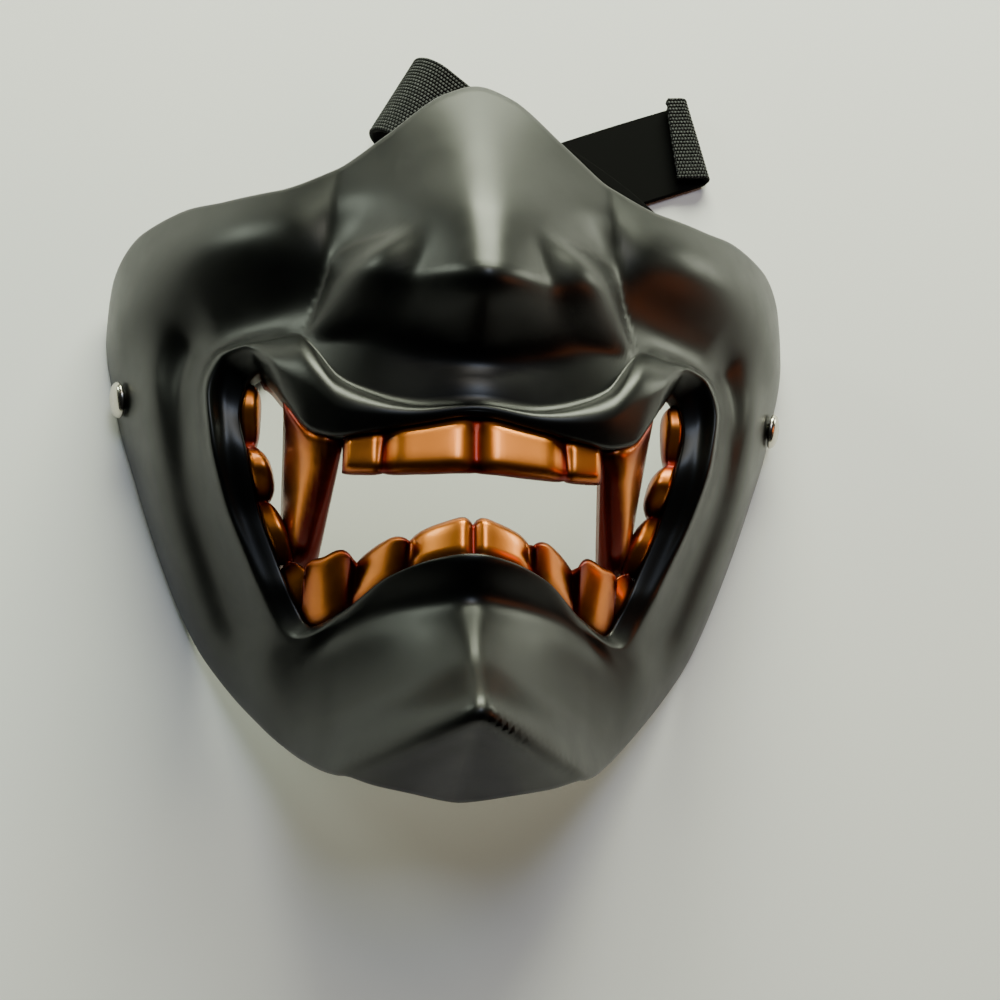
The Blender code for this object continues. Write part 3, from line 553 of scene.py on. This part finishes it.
def moulded_plastic(settings):
    """Black moulded PVC: a dense plastic with a satin skin that gives broad soft highlights."""
    made, tree = new_material("moulded_black_pvc")
    place = node(tree, "TexCoord").outputs["Object"]
    # Faint unevenness of the skin, 9 mm across, and the mould's grain, drawn at 0.5 mm to show
    cloud = node(tree, "TexNoise", links={"Vector": place},
                 Scale=1 / (9 * MM), Detail=3.0)
    grain = node(tree, "TexNoise", links={"Vector": place},
                 Scale=1 / (0.5 * MM), Detail=2.0)
    rough = node(tree, "MapRange", links={"Value": cloud.outputs["Fac"]},
                 From_Min=0.3, From_Max=0.7, To_Min=settings.roughness - 0.03,
                 To_Max=settings.roughness + 0.04)
    skin = node(tree, "Bump", links={"Height": grain.outputs["Fac"]},
                Strength=0.05, Distance=0.1 * MM)
    shader = node(tree, "BsdfPrincipled",
                  links={"Roughness": rough.outputs["Result"], "Normal": skin.outputs["Normal"]},
                  Base_Color=srgb(settings.colour), IOR=1.46)
    node(tree, "OutputMaterial", links={"Surface": shader.outputs["BSDF"]})
    return made


def metallic_paint(settings):
    """Copper-gold metallic lacquer: fine flakes, bright on the crowns, with red-brown painted shade
    in the grooves.
    """
    made, tree = new_material("copper_gold_lacquer")
    place = node(tree, "TexCoord").outputs["Object"]
    # Painted shade: this attribute turns the gold toward the groove colour in grooves, at roots and
    # tips, under the teeth and on a fang's inner facet
    painted_shade = node(tree, "Attribute", {"attribute_name": "painted_shade"})
    # Flakes are finer than a pixel, so they are drawn at 0.4 mm; the paint's flow is 5 mm wide
    flake = node(tree, "TexNoise", links={"Vector": place},
                 Scale=1 / (0.4 * MM), Detail=2.0)
    flow = node(tree, "TexNoise", links={"Vector": place},
                Scale=1 / (5 * MM), Detail=2.0)
    shift = node(tree, "Math", {"operation": "MULTIPLY_ADD"},
                 {0: flow.outputs["Fac"], 2: painted_shade.outputs["Fac"]})
    shift.inputs[1].default_value = 0.25
    tone = node(tree, "ValToRGB", links={"Fac": shift.outputs["Value"]})
    crown, groove = tone.color_ramp.elements
    crown.position = 0.15
    crown.color = srgb(settings.colour)
    groove.color = srgb(settings.shade)
    rough = node(tree, "MapRange", links={"Value": flake.outputs["Fac"]},
                 To_Min=settings.roughness - 0.03, To_Max=settings.roughness + 0.03)
    skin = node(tree, "Bump", links={"Height": flake.outputs["Fac"]},
                Strength=0.02, Distance=0.1 * MM)
    shader = node(tree, "BsdfPrincipled",
                  links={"Base Color": tone.outputs["Color"], "Roughness": rough.outputs["Result"],
                         "Normal": skin.outputs["Normal"]},
                  Metallic=1.0, Coat_Weight=0.25, Coat_Roughness=0.10)
    node(tree, "OutputMaterial", links={"Surface": shader.outputs["BSDF"]})
    return made


def plated_nickel(settings):
    """Nickel-plated steel: bright, with fine scuffs from handling."""
    made, tree = new_material("plated_nickel")
    place = node(tree, "TexCoord").outputs["Object"]
    # Scuffs about 0.6 mm apart
    scuff = node(tree, "TexNoise", links={"Vector": place},
                 Scale=1 / (0.6 * MM), Detail=4.0)
    rough = node(tree, "MapRange", links={"Value": scuff.outputs["Fac"]},
                 To_Min=0.12, To_Max=0.34)
    shader = node(tree, "BsdfPrincipled", links={"Roughness": rough.outputs["Result"]},
                  Base_Color=srgb(settings.colour), Metallic=1.0)
    node(tree, "OutputMaterial", links={"Surface": shader.outputs["BSDF"]})
    return made


def woven_elastic(settings):
    """Woven elastic: matt polyester over rubber cords, ribbed outside and smooth inside, with a
    painted sheen on the ribbed face's loops.
    """
    made, tree = new_material("woven_elastic_webbing")
    outside = node(tree, "Attribute", {"attribute_name": "outside"})
    weave = node(tree, "UVMap", {"uv_map": "weave"})
    # The weft's loops are 0.9 mm apart along the strap and half a step apart on every other cord
    loops = node(tree, "TexBrick", {"offset": 0.5}, {"Vector": weave.outputs["UV"]},
                 Scale=1.0, Color1=(1, 1, 1, 1), Color2=(0.6, 0.6, 0.6, 1), Mortar=(0, 0, 0, 1),
                 Mortar_Size=0.22 * MM, Mortar_Smooth=0.6, Brick_Width=0.9 * MM,
                 Row_Height=settings.cord_spacing)
    # The loop pattern is both the ribbed face's bump and its painted sheen: loops lighter, some
    # loops dimmer, gaps near-black
    relief = node(tree, "Math", {"operation": "MULTIPLY"},
                  {0: loops.outputs["Color"], 1: outside.outputs["Fac"]})
    skin = node(tree, "Bump", links={"Height": relief.outputs["Value"]},
                Strength=1.0, Distance=0.3 * MM)
    lit = node(tree, "Mix", {"data_type": "RGBA"},
               {"Factor": relief.outputs["Value"]},
               A=srgb(settings.inner_colour), B=srgb(settings.loop_sheen_colour))
    shader = node(tree, "BsdfPrincipled",
                  links={"Base Color": lit.outputs["Result"], "Normal": skin.outputs["Normal"]},
                  Roughness=0.9, Specular_IOR_Level=0.12)
    node(tree, "OutputMaterial", links={"Surface": shader.outputs["BSDF"]})
    return made


def pale_floor(settings):
    """Painted board: pale, matt and plain, with a trace of roller texture."""
    made, tree = new_material("painted_board")
    place = node(tree, "TexCoord").outputs["Object"]
    # Roller texture about 3 mm across
    roller = node(tree, "TexNoise", links={"Vector": place},
                  Scale=1 / (3 * MM), Detail=2.0)
    skin = node(tree, "Bump", links={"Height": roller.outputs["Fac"]},
                Strength=0.02, Distance=0.1 * MM)
    shader = node(tree, "BsdfPrincipled", links={"Normal": skin.outputs["Normal"]},
                  Base_Color=srgb(settings.floor_colour), Roughness=0.85)
    node(tree, "OutputMaterial", links={"Surface": shader.outputs["BSDF"]})
    return made


def add_piece(name, node_name, points, faces, finish):
    """Puts points and quads into an object at the origin, moved from levels to the frame's Y."""
    placed = points.reshape(-1, 3) + np.array([0.0, LEVEL_SHIFT, 0.0])
    mesh = bpy.data.meshes.new(name)
    mesh.from_pydata(placed.tolist(), [], faces.tolist())
    mesh.shade_smooth()
    mesh.materials.append(finish)
    piece = bpy.data.objects.new(name, mesh)
    bpy.context.scene.collection.objects.link(piece)
    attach(piece, "root")
    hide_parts(node_name)
    return piece


def rounded_corner(before, corner, after, radius, steps):
    """Points on a quadratic curve that cuts a corner at `radius` on both legs."""
    first = corner + unit(before - corner) * radius
    last = corner + unit(after - corner) * radius
    t = np.linspace(0, 1, steps)[:, None]
    return ((1 - t) ** 2 * first[:, None] + 2 * t * (1 - t) * corner[:, None]
            + t**2 * last[:, None])


def half_round(start, end, outward, steps):
    """Points strictly between `start` and `end` on the half ellipse that bulges `outward`."""
    angle = np.linspace(0, pi, steps + 2)[1:-1, None]
    middle = (start + end) / 2
    leg = (start - end) / 2
    bulge = outward * np.linalg.norm(leg, axis=-1, keepdims=True)
    return middle[:, None] + leg[:, None] * np.cos(angle) + bulge[:, None] * np.sin(angle)


def build_shell(settings):
    """The moulded wall as one closed grid: lip wall, rounded edge, face, round rim, inner face.

    The inner face is the outer one moved back along its smoothed normals. What lies below the
    floor is cut off, so the flanks stand on a flat edge.
    """
    turns = np.arange(LOOP * COLUMNS_PER_STATION) / COLUMNS_PER_STATION
    face = shell_surface(turns, LIP_RINGS, FACE_RINGS)
    edge = face[:, 0]
    back = edge - np.array([0, 0, LIP_DEPTH])
    corner = rounded_corner(back, edge, face[:, 2], settings.edge_rounding, EDGE_RINGS)
    depth = np.linspace(0, 1, WALL_RINGS)[:-1, None]
    lip_wall = back[:, None] + (corner[:, :1] - back[:, None]) * depth
    started = np.linalg.norm(face - edge[:, None], axis=-1) > settings.edge_rounding
    keep = started.all(axis=0)
    outer = np.concatenate([lip_wall, corner, face[:, keep]], axis=1)
    normal = grid_normals(outer)
    for _ in range(NORMAL_PASSES):
        normal = (normal + np.roll(normal, 1, axis=0) + np.roll(normal, -1, axis=0)) / 3
        normal[:, 1:-1] = (normal[:, :-2] + normal[:, 1:-1] + normal[:, 2:]) / 3
    inner = outer - unit(normal) * settings.wall
    for _ in range(WALL_PASSES):
        inner[:, 1:-1] = (inner[:, :-2] + 2 * inner[:, 1:-1] + inner[:, 2:]) / 4
    rim = half_round(outer[:, -1], inner[:, -1], unit(outer[:, -1] - outer[:, -2]), EDGE_RINGS)
    lip = half_round(inner[:, 0], outer[:, 0], np.array([[0.0, 0.0, -0.6]]), EDGE_RINGS)
    loop = np.concatenate([outer, rim, inner[:, ::-1], lip], axis=1)
    faces = grid_faces(*loop.shape[:2], True, True)
    piece = add_piece("moulded_shell", "shell", loop, faces, moulded_plastic(settings))
    cut_flat(piece.data)


def cut_flat(mesh):
    """Cuts a closed mesh at the floor, closes the cut and turns the faces outward."""
    shape = bmesh.new()
    shape.from_mesh(mesh)
    everything = [*shape.verts, *shape.edges, *shape.faces]
    bmesh.ops.bisect_plane(shape, geom=everything, dist=1e-7, plane_co=(0, 0, 0),
                           plane_no=(0, 0, 1), clear_inner=True)
    open_edges = [edge for edge in shape.edges if edge.is_boundary]
    bmesh.ops.holes_fill(shape, edges=open_edges, sides=0)
    bmesh.ops.recalc_face_normals(shape, faces=shape.faces)
    shape.to_mesh(mesh)
    shape.free()


def mouth_edge(turn):
    """Points just inside the mouth's edge, behind the lip, on the edge's inward normal."""
    step = 0.05
    edge, ahead, behind = (np.stack(stations_at(turn + move)[:2], axis=-1)
                           for move in (0.0, step, -step))
    run = ahead - behind
    inward = unit(np.stack([run[:, 1], -run[:, 0]], axis=-1))
    height = shell_surface(turn % LOOP, 1, 1)[:, 0, 2] - TOOTH_ROOT * LIP_DEPTH
    return np.concatenate([edge + inward * TOOTH_SEAT, height[:, None]], axis=-1)


def build_teeth(row, sides, finish):
    """A row of teeth as one closed plate over the shares (across, along) of each tooth.

    The plan grows from the mouth's edge in the tooth's direction by its reach, and a fang is
    drawn together toward its outer edge in step with that. The crown is a ridge or a flat top
    across the tooth times a rise from the root and a fall to the tip. The plate's thickness
    falls as a quarter ellipse to the tip. The tooth's painted shade, an attribute, is 1 in
    grooves, on the rear face and on a fang's inner facet, and higher toward root and tip.
    """
    across = np.linspace(0, 1, TOOTH_COLUMNS)
    along = 1 - (1 - np.linspace(0, 1, TOOTH_RINGS)) ** 1.5
    columns = []
    for tooth in (tooth[1:] for tooth in TEETH if tooth[0] == row):
        first, last, aim, near, middle, far, square, lean, bulge, root, tip, sharp = tooth
        swell = 1 - np.abs(2 * across - 1) ** square
        bevel = BEVEL_WIDTH - BEVEL_LOSS * square
        reach = near + (far - near) * across + (middle - (near + far) / 2) * swell
        ridge = root + (tip - root) * along[None, :]
        place = across[:, None]
        off = np.where(place < ridge, (ridge - place) / ridge, (place - ridge) / (1 - ridge))
        flat_top = smooth_step((1 - np.clip(off, 0, 1)) / bevel) ** 0.7
        crest = (1 - sharp) * flat_top + sharp * (1 - np.sqrt(off**2 + 0.01) * 0.995)
        foot = mouth_edge(np.array([first, last]))[:, :2]
        taper = FANG_TAPER * (FANG_FOCUS - across) * (lean < -1)
        # Painted shade on the inner facet of a fang
        facet = FANG_SHADE * smooth_step(3 * (ridge - place) / ridge) * (lean < -1)
        values = np.stack(np.broadcast_arrays(
            first + (last - first) * across, reach * TOOTH_LENGTH, cos(radians(aim)),
            taper * (foot[1, 0] - foot[0, 0]), taper * (foot[1, 1] - foot[0, 1]),
            sin(radians(aim)), lean * TOOTH_LENGTH, bulge * TOOTH_THICKNESS), axis=-1)
        columns.append(np.concatenate([values, np.clip(crest, 0, 1), facet], axis=1))
    half = np.concatenate(columns)
    half = half[np.append(True, np.abs(np.diff(half[:, 0])) > 1e-9)]
    mirrored = half[::-1] * np.concatenate([[-1, 1, -1, -1], np.ones(half.shape[1] - 4)])
    if sides == (-1, 1):
        turned = mirrored[1:].copy()
        turned[:, 0] += LOOP
        both = (mirrored[:-1], half) if half[0, 0] == 0 else (half, turned)
        half = np.concatenate(both)
    elif sides == (-1,):
        half = mirrored
    turn, reach, aim_x, pull_x, pull_level, aim_level, lean, bulge = half[:, :8].T
    crest = half[:, 8:8 + len(along)]
    facet = half[:, 8 + len(along):]
    root = mouth_edge(turn)
    direction = np.stack([aim_x, aim_level], axis=-1)[:, None, :]
    pull = np.stack([pull_x, pull_level], axis=-1)[:, None, :]
    plan = root[:, None, :2] + direction * (reach[:, None] * along)[..., None]
    plan = plan + pull * (along * reach[:, None] / reach.max())[..., None]
    base = root[:, None, 2] + lean[:, None] * along
    rise = smooth_step(along / CROWN_RISE) * (1 - CROWN_ROOT) + CROWN_ROOT
    beyond = np.clip((along - CROWN_FALL) / (1 - CROWN_FALL), 0, 1)
    fall = np.sqrt(np.clip(1 - beyond**2.5, 0, 1))
    beyond = np.clip((along - TIP_START) / (1 - TIP_START), 0, 1)
    half_thick = TOOTH_THICKNESS / 2 * np.sqrt(np.clip(1 - beyond**2, 0.02, 1))
    front = base - TOOTH_THICKNESS / 2 + half_thick + bulge[:, None] * crest * rise * fall
    rear = base - TOOTH_THICKNESS / 2 - half_thick
    rows, rings = front.shape
    top = np.concatenate([plan, front[..., None]], axis=-1)
    bottom = np.concatenate([plan, rear[..., None]], axis=-1)[:, ::-1]
    loop = np.concatenate([top, bottom], axis=1)
    faces = grid_faces(*loop.shape[:2], False, True)
    ends = [list(range(2 * rings))[::-1], [(rows - 1) * 2 * rings + i for i in range(2 * rings)]]
    # Painted shade: 1 in grooves, on the rear face and on a fang's inner facet, higher toward root
    # and tip
    painted_shade = np.maximum(1 - crest * np.clip(rise * fall, 0, 1), facet)
    painted_shade = np.concatenate([painted_shade, np.ones_like(painted_shade)], axis=1)
    node_name = row + SIDES[sides[0]] if len(sides) == 1 else row
    piece = add_piece("painted_" + node_name, node_name, loop, faces, finish)
    close_ends(piece.data, ends)
    attribute = piece.data.attributes.new("painted_shade", "FLOAT", "POINT")
    attribute.data.foreach_set("value", painted_shade.ravel())


def close_ends(mesh, ends):
    """Adds one face over each open end of a tube, and turns all faces outward."""
    shape = bmesh.new()
    shape.from_mesh(mesh)
    shape.verts.ensure_lookup_table()
    for end in ends:
        shape.faces.new([shape.verts[i] for i in end])
    bmesh.ops.recalc_face_normals(shape, faces=shape.faces)
    shape.to_mesh(mesh)
    shape.free()


def rivet_frame(side):
    """Matrix of the rivet on one flank: origin on the outer face, local +Z outward."""
    half_width = float(sections_at(np.array(0.0))[0])
    x = np.linspace(0.85, 1.0, 400) * half_width
    height = body_height(x, np.zeros_like(x))
    place = float(np.interp(-RIVET_HEIGHT, -height, x))
    around = body_height(np.array([place - MM, place + MM, place, place]),
                         np.array([0.0, 0.0, -MM, MM]))
    slope_x = (around[1] - around[0]) / (2 * MM)
    slope_level = (around[3] - around[2]) / (2 * MM)
    outward = Vector((-slope_x * side, -slope_level, 1.0)).normalized()
    along_rim = Vector((0, 0, 1)).cross(outward).normalized()
    matrix = Matrix((along_rim, outward.cross(along_rim), outward)).transposed().to_4x4()
    matrix.translation = Vector((side * place, 0.0, RIVET_HEIGHT))
    return matrix


def build_rivet(side, wall, finish):
    """A profile (radius, height) turned about the rivet's axis, with a rolled rim on its head."""
    head = RIVET_HEAD / 2
    shank = RIVET_SHANK / 2
    flange = RIVET_FLANGE / 2
    inside = -(wall + STRAP_STANDOFF + STRAP_THICKNESS + SEAT)
    share = np.linspace(0.02, 1, 12)
    dome = np.stack([head * share,
                     SEAT + RIVET_DOME * (DOME_EDGE + (1 - DOME_EDGE)
                                          * np.sqrt(1 - share**2 * 0.995))], axis=-1)
    dome[:, 1] -= RIVET_DOME * DIMPLE_DEPTH * bell(dome[:, 0] / (DIMPLE_WIDTH * head))
    rest = np.array([(head, SEAT + RIM_HEIGHT * RIVET_DOME), (head * RIM_UNDERCUT, SEAT),
                     (shank, SEAT), (shank, inside), (flange, inside),
                     (flange, inside - FLANGE_THICKNESS),
                     (flange * 0.02, inside - FLANGE_THICKNESS)])
    profile = np.concatenate([dome, rest])
    angle = np.arange(RIVET_SIDES) * 2 * pi / RIVET_SIDES
    local = np.stack([profile[None, :, 0] * np.cos(angle)[:, None],
                      profile[None, :, 0] * np.sin(angle)[:, None],
                      np.broadcast_to(profile[:, 1], (len(angle), len(profile)))], axis=-1)
    matrix = np.array(rivet_frame(side))
    points = local @ matrix[:3, :3].T + matrix[:3, 3]
    rings = len(profile)
    faces = grid_faces(len(angle), rings, True)
    node_name = "rivet" + SIDES[side]
    piece = add_piece("plated_" + node_name, node_name, points, faces, finish)
    close_ends(piece.data, [[i * rings for i in range(len(angle))],
                            [i * rings + rings - 1 for i in range(len(angle))]])


def roll_up(points, place, outward, radius, angle):
    """Rolls what lies beyond a line of the plan up around a cylinder that rests on the floor."""
    beyond = (points[..., :2] - place) @ outward
    arc = np.clip(beyond, 0, radius * angle)
    straight = beyond - arc
    turned = arc / radius
    inner = radius - points[..., 2]
    away = inner * np.sin(turned) + straight * np.where(beyond > 0, np.cos(turned), 1.0)
    height = radius - inner * np.cos(turned) + np.where(beyond > 0, straight * np.sin(turned), 0.0)
    rolled = points.copy()
    rolled[..., :2] += (away - beyond)[..., None] * outward
    rolled[..., 2] = height
    return rolled


def flank_bend(side, wall):
    """Where a strap bends from the floor to the flank: place, outward, angle, flat rivet place."""
    matrix = rivet_frame(side)
    normal = np.array(matrix.to_3x3().col[2])
    target = np.array(matrix.translation) - normal * (wall + STRAP_STANDOFF)
    outward = normal[:2] / np.hypot(normal[0], normal[1])
    angle = pi / 2 + np.arcsin(normal[2])
    straight = (target[2] - STRAP_BEND * (1 - np.cos(angle))) / np.sin(angle)
    along = target[:2] @ outward
    start = along - STRAP_BEND * np.sin(angle) - straight * np.cos(angle)
    place = target[:2] + (start - along) * outward
    return place, outward, angle, place + (STRAP_BEND * angle + straight) * outward


def strap_route(side, wall):
    """Middle line of a flat strap every millimetre: the sum of steps along a turning heading."""
    first, last, start, length, beyond = STRAPS[side][:5]
    total = STRAP_TAB + (start + length + beyond) * STRAP_LENGTH
    along = np.arange(0.0, total + 0.5 * MM, MM)
    bend = smooth_step((along - STRAP_TAB - start * STRAP_LENGTH) / (length * STRAP_LENGTH))
    heading = radians(first) + radians(last - first) * bend
    steps = np.stack([np.cos(heading), np.sin(heading)], axis=-1) * MM
    line = np.concatenate([np.zeros((1, 2)), np.cumsum((steps[1:] + steps[:-1]) / 2, axis=0)])
    tab = np.array([cos(radians(first)), sin(radians(first))]) * STRAP_TAB
    return along, line + flank_bend(side, wall)[3] - tab, heading


def build_strap(side, under, wall, settings, finish):
    """A strip over (along, across): laid flat, lifted over `under`, rolled at both ends.

    The lower face carries lengthwise cords as a rounded wave across the strip, and the left
    strap's cut end a zigzag of one tooth to a pair of cords.
    """
    beyond, fold_angle, fold_turn = STRAPS[side][4:]
    along, line, heading = strap_route(side, wall)
    end = along[-1]
    fold = end - beyond * STRAP_LENGTH
    tight = pi * FOLD_RADIUS[side]
    marks = np.unique(np.round(np.concatenate([
        np.linspace(0, BEND_STRETCH * STRAP_LENGTH, 70),
        np.linspace(BEND_STRETCH * STRAP_LENGTH, fold - FOLD_LEAD * STRAP_LENGTH, 40),
        np.linspace(fold - FOLD_LEAD * STRAP_LENGTH, min(fold + FOLD_TAIL * tight, end), 60),
        np.linspace(min(fold + FOLD_TAIL * tight, end), end, 14)]), 7))
    cords = round(STRAP_WIDTH / settings.cord_spacing)
    share = np.linspace(-0.5, 0.5, cords * CORD_SAMPLES + 1)
    zigzag = FRAY_DEPTH * np.abs((share * cords / 2) % 1 * 2 - 1) * (side < 0)
    spot = np.minimum(marks[:, None], end - zigzag * smooth_step((marks[:, None] - end) / MM + 3))
    centre = np.stack([np.interp(spot, along, line[:, axis]) for axis in (0, 1)], axis=-1)
    turned = np.interp(spot, along, heading)
    sideways = np.stack([-np.sin(turned), np.cos(turned)], axis=-1)
    plan = centre + (share * STRAP_WIDTH)[:, None] * sideways
    lift = np.zeros(plan.shape[:2])
    if under is not None:
        sparse = slice(None, None, 8)
        columns = plan[:, sparse]
        gap = np.linalg.norm(columns[:, :, None, :] - under[None, None], axis=-1).min(axis=-1)
        near = smooth_step((STRAP_WIDTH - gap) / (LIFT_BLEND * STRAP_WIDTH))
        raised = (STRAP_THICKNESS + SEAT) * near
        lift = np.array([np.interp(share, share[sparse], line_lift) for line_lift in raised])
    wave = np.abs(np.sin(pi * (share + 0.5) * cords)) ** CORD_SHARPNESS
    groove = settings.cord_relief * (1 - wave) * (np.abs(share) < 0.5 - 0.5 / cords)
    place, outward, angle, _ = flank_bend(side, wall)
    fold_place = np.array([np.interp(fold, along, line[:, axis]) for axis in (0, 1)])
    fold_out = np.array([cos(radians(fold_angle)), sin(radians(fold_angle))])
    sides = []
    for height in (np.full_like(share, STRAP_THICKNESS), groove):
        sheet = np.concatenate([plan, (lift + height)[..., None]], axis=-1)
        sheet = roll_up(sheet, place, outward, STRAP_BEND, angle)
        far = marks[:, None] > fold - STRAP_WIDTH
        rolled = roll_up(sheet, fold_place, fold_out, FOLD_RADIUS[side], radians(fold_turn))
        sides.append(np.where(far[..., None], rolled, sheet))
    inner_face, outer_face = sides
    for border in (0, -1):
        move = unit(outer_face[:, border] - inner_face[:, border]) * SELVEDGE * STRAP_THICKNESS
        inner_face[:, border] += move
        outer_face[:, border] -= move
    loop = np.concatenate([inner_face, outer_face[:, ::-1]], axis=1)
    rows, rings = loop.shape[:2]
    faces = grid_faces(rows, rings, False, True)
    node_name = "strap" + SIDES[side]
    piece = add_piece("elastic_" + node_name, node_name, loop, faces, finish)
    close_ends(piece.data, [list(range(rings)), [(rows - 1) * rings + i for i in range(rings)]])
    on_outside = np.concatenate([np.zeros_like(share), np.ones_like(share)])
    attribute = piece.data.attributes.new("outside", "FLOAT", "POINT")
    attribute.data.foreach_set("value", np.tile(on_outside, rows))
    both_ways = np.concatenate([share, share[::-1]]) * STRAP_WIDTH
    flat = np.stack(np.broadcast_arrays(marks[:, None], both_ways[None, :]), axis=-1)
    corner = np.zeros(len(piece.data.loops), dtype=int)
    piece.data.loops.foreach_get("vertex_index", corner)
    weave = piece.data.uv_layers.new(name="weave")
    weave.uv.foreach_set("vector", flat.reshape(-1, 2)[corner].ravel())
    return line


class GUARD_OT_shell(bpy.types.Operator):
    """Builds the moulded shell"""

    bl_idname = "face_guard.shell"
    bl_label = "Moulded shell"

    def execute(self, context):
        build_shell(context.scene.face_guard.shell)
        return {"FINISHED"}


class GUARD_OT_teeth(bpy.types.Operator):
    """Builds the painted teeth of both jaws and cheeks"""

    bl_idname = "face_guard.teeth"
    bl_label = "Painted teeth"

    def execute(self, context):
        paint = metallic_paint(context.scene.face_guard.teeth)
        for row in ("upper_teeth", "lower_teeth"):
            build_teeth(row, (-1, 1), paint)
        for side in SIDES:
            for row in ("fang", "cheek_teeth"):
                build_teeth(row, (side,), paint)
        return {"FINISHED"}


class GUARD_OT_rivets(bpy.types.Operator):
    """Builds the rivet on each flank"""

    bl_idname = "face_guard.rivets"
    bl_label = "Rivets"

    def execute(self, context):
        settings = context.scene.face_guard
        nickel = plated_nickel(settings.rivets)
        for side in SIDES:
            build_rivet(side, settings.shell.wall, nickel)
        return {"FINISHED"}


class GUARD_OT_straps(bpy.types.Operator):
    """Builds the two halves of the elastic strap"""

    bl_idname = "face_guard.straps"
    bl_label = "Elastic straps"

    def execute(self, context):
        settings = context.scene.face_guard
        elastic = woven_elastic(settings.straps)
        under = None
        for side in SIDES:
            under = build_strap(side, under, settings.shell.wall, settings.straps, elastic)
        return {"FINISHED"}


class GUARD_OT_stage(bpy.types.Operator):
    """Builds the floor, the lamps and the camera"""

    bl_idname = "face_guard.stage"
    bl_label = "Stage"

    def execute(self, context):
        settings = context.scene.face_guard.stage
        build_floor(settings)
        build_lamps(settings)
        build_camera()
        return {"FINISHED"}


class GUARD_PT_panel(bpy.types.Panel):
    bl_label = "Face guard"
    bl_idname = "GUARD_PT_panel"
    bl_space_type = "VIEW_3D"
    bl_region_type = "UI"
    bl_category = "Face guard"

    def draw(self, context):
        settings = context.scene.face_guard
        for operator, group in OPERATORS:
            box = self.layout.box()
            box.operator(operator.bl_idname)
            chosen = getattr(settings, group)
            for key in chosen.__annotations__:
                box.prop(chosen, key)


def build_floor(settings):
    """A flat square a hair below the guard."""
    half = settings.floor_size / 2
    mesh = bpy.data.meshes.new("painted_floor")
    below = -0.3 * MM
    corners = [(x * half, y * half, below) for x, y in ((-1, -1), (1, -1), (1, 1), (-1, 1))]
    mesh.from_pydata(corners, [], [(0, 1, 2, 3)])
    mesh.materials.append(pale_floor(settings))
    floor = bpy.data.objects.new("painted_floor", mesh)
    bpy.context.scene.collection.objects.link(floor)


def build_lamps(settings):
    """Soft boxes around the guard: name, place, size, power and colour."""
    rows = (
        ("brow_soft_box", (0.12, 1.00, 0.46), (0.8, 0.46), 30.0, "#f7ffe2"),
        ("overhead_soft_box", (0.15, 0.40, 1.30), (0.3, 0.4), 3.5, "#d4e4ff"),
        ("high_soft_box", (0.10, 0.62, 1.10), (0.6, 0.20), 2.4, "#fff4dc"),
        ("left_soft_box", (-0.95, 0.68, 0.34), (0.3, 0.3), 3.4, "#f2ffea"),
        ("right_soft_box", (1.05, 0.56, 0.12), (0.35, 0.2), 3.0, "#f8ffe6"),
        ("right_warm_box", (1.10, -0.10, 0.50), (0.4, 0.5), 1.2, "#ff8a4c"),
    )
    for name, place, size, power, colour in rows:
        lamp = bpy.data.lights.new(name, "AREA")
        lamp.shape = "RECTANGLE"
        lamp.size, lamp.size_y = size
        lamp.energy = power * settings.light
        lamp.color = srgb(colour)[:3]
        holder = bpy.data.objects.new(name, lamp)
        turn = (LAMP_AIM - Vector(place)).to_track_quat("-Z", "Y")
        holder.matrix_world = Matrix.Translation(place) @ turn.to_matrix().to_4x4()
        bpy.context.scene.collection.objects.link(holder)
    world = bpy.data.worlds.new("studio_air")
    world.use_nodes = True
    air = world.node_tree.nodes["Background"]
    air.inputs["Color"].default_value = srgb("#f4f5f2")
    air.inputs["Strength"].default_value = AIR_STRENGTH * settings.light
    bpy.context.scene.world = world


def build_camera():
    """A camera whose back axis is (-sin yaw, -sin pitch cos yaw, cos pitch cos yaw), rolled."""
    yaw, pitch, roll = CAMERA_TURN
    back = Vector((-sin(yaw), -sin(pitch) * cos(yaw), cos(pitch) * cos(yaw))).normalized()
    up = (Vector((0, 1, 0)) - back * back.y).normalized()
    right = up.cross(back)
    tilted_right = right * cos(roll) - up * sin(roll)
    tilted_up = right * sin(roll) + up * cos(roll)
    eye = Vector((CAMERA_TARGET[0], CAMERA_TARGET[1] + LEVEL_SHIFT, 0)) + back * CAMERA_DISTANCE
    lens = bpy.data.cameras.new("photograph_camera")
    lens.sensor_width = SENSOR
    lens.lens = SENSOR * LENS_SHARE
    lens.clip_start = 0.01
    camera = bpy.data.objects.new("photograph_camera", lens)
    turn = Matrix((tilted_right, tilted_up, back)).transposed().to_4x4()
    camera.matrix_world = Matrix.Translation(eye) @ turn
    bpy.context.scene.collection.objects.link(camera)
    bpy.context.scene.camera = camera


class GuardSettings(bpy.types.PropertyGroup):
    shell: PointerProperty(type=ShellSettings)
    teeth: PointerProperty(type=TeethSettings)
    rivets: PointerProperty(type=RivetSettings)
    straps: PointerProperty(type=StrapSettings)
    stage: PointerProperty(type=StageSettings)


OPERATORS = ((GUARD_OT_stage, "stage"), (GUARD_OT_shell, "shell"), (GUARD_OT_teeth, "teeth"),
             (GUARD_OT_rivets, "rivets"), (GUARD_OT_straps, "straps"))
CLASSES = (ShellSettings, TeethSettings, RivetSettings, StrapSettings, StageSettings,
           GuardSettings, *(operator for operator, _ in OPERATORS), GUARD_PT_panel)


def register():
    for cls in CLASSES:
        bpy.utils.register_class(cls)
    bpy.types.Scene.face_guard = PointerProperty(type=GuardSettings)


def unregister():
    del bpy.types.Scene.face_guard
    for cls in reversed(CLASSES):
        bpy.utils.unregister_class(cls)


def main():
    register()
    bpy.ops.face_guard.stage()
    bpy.ops.face_guard.shell()
    bpy.ops.face_guard.teeth()
    bpy.ops.face_guard.rivets()
    bpy.ops.face_guard.straps()


if __name__ == "__main__":
    main()
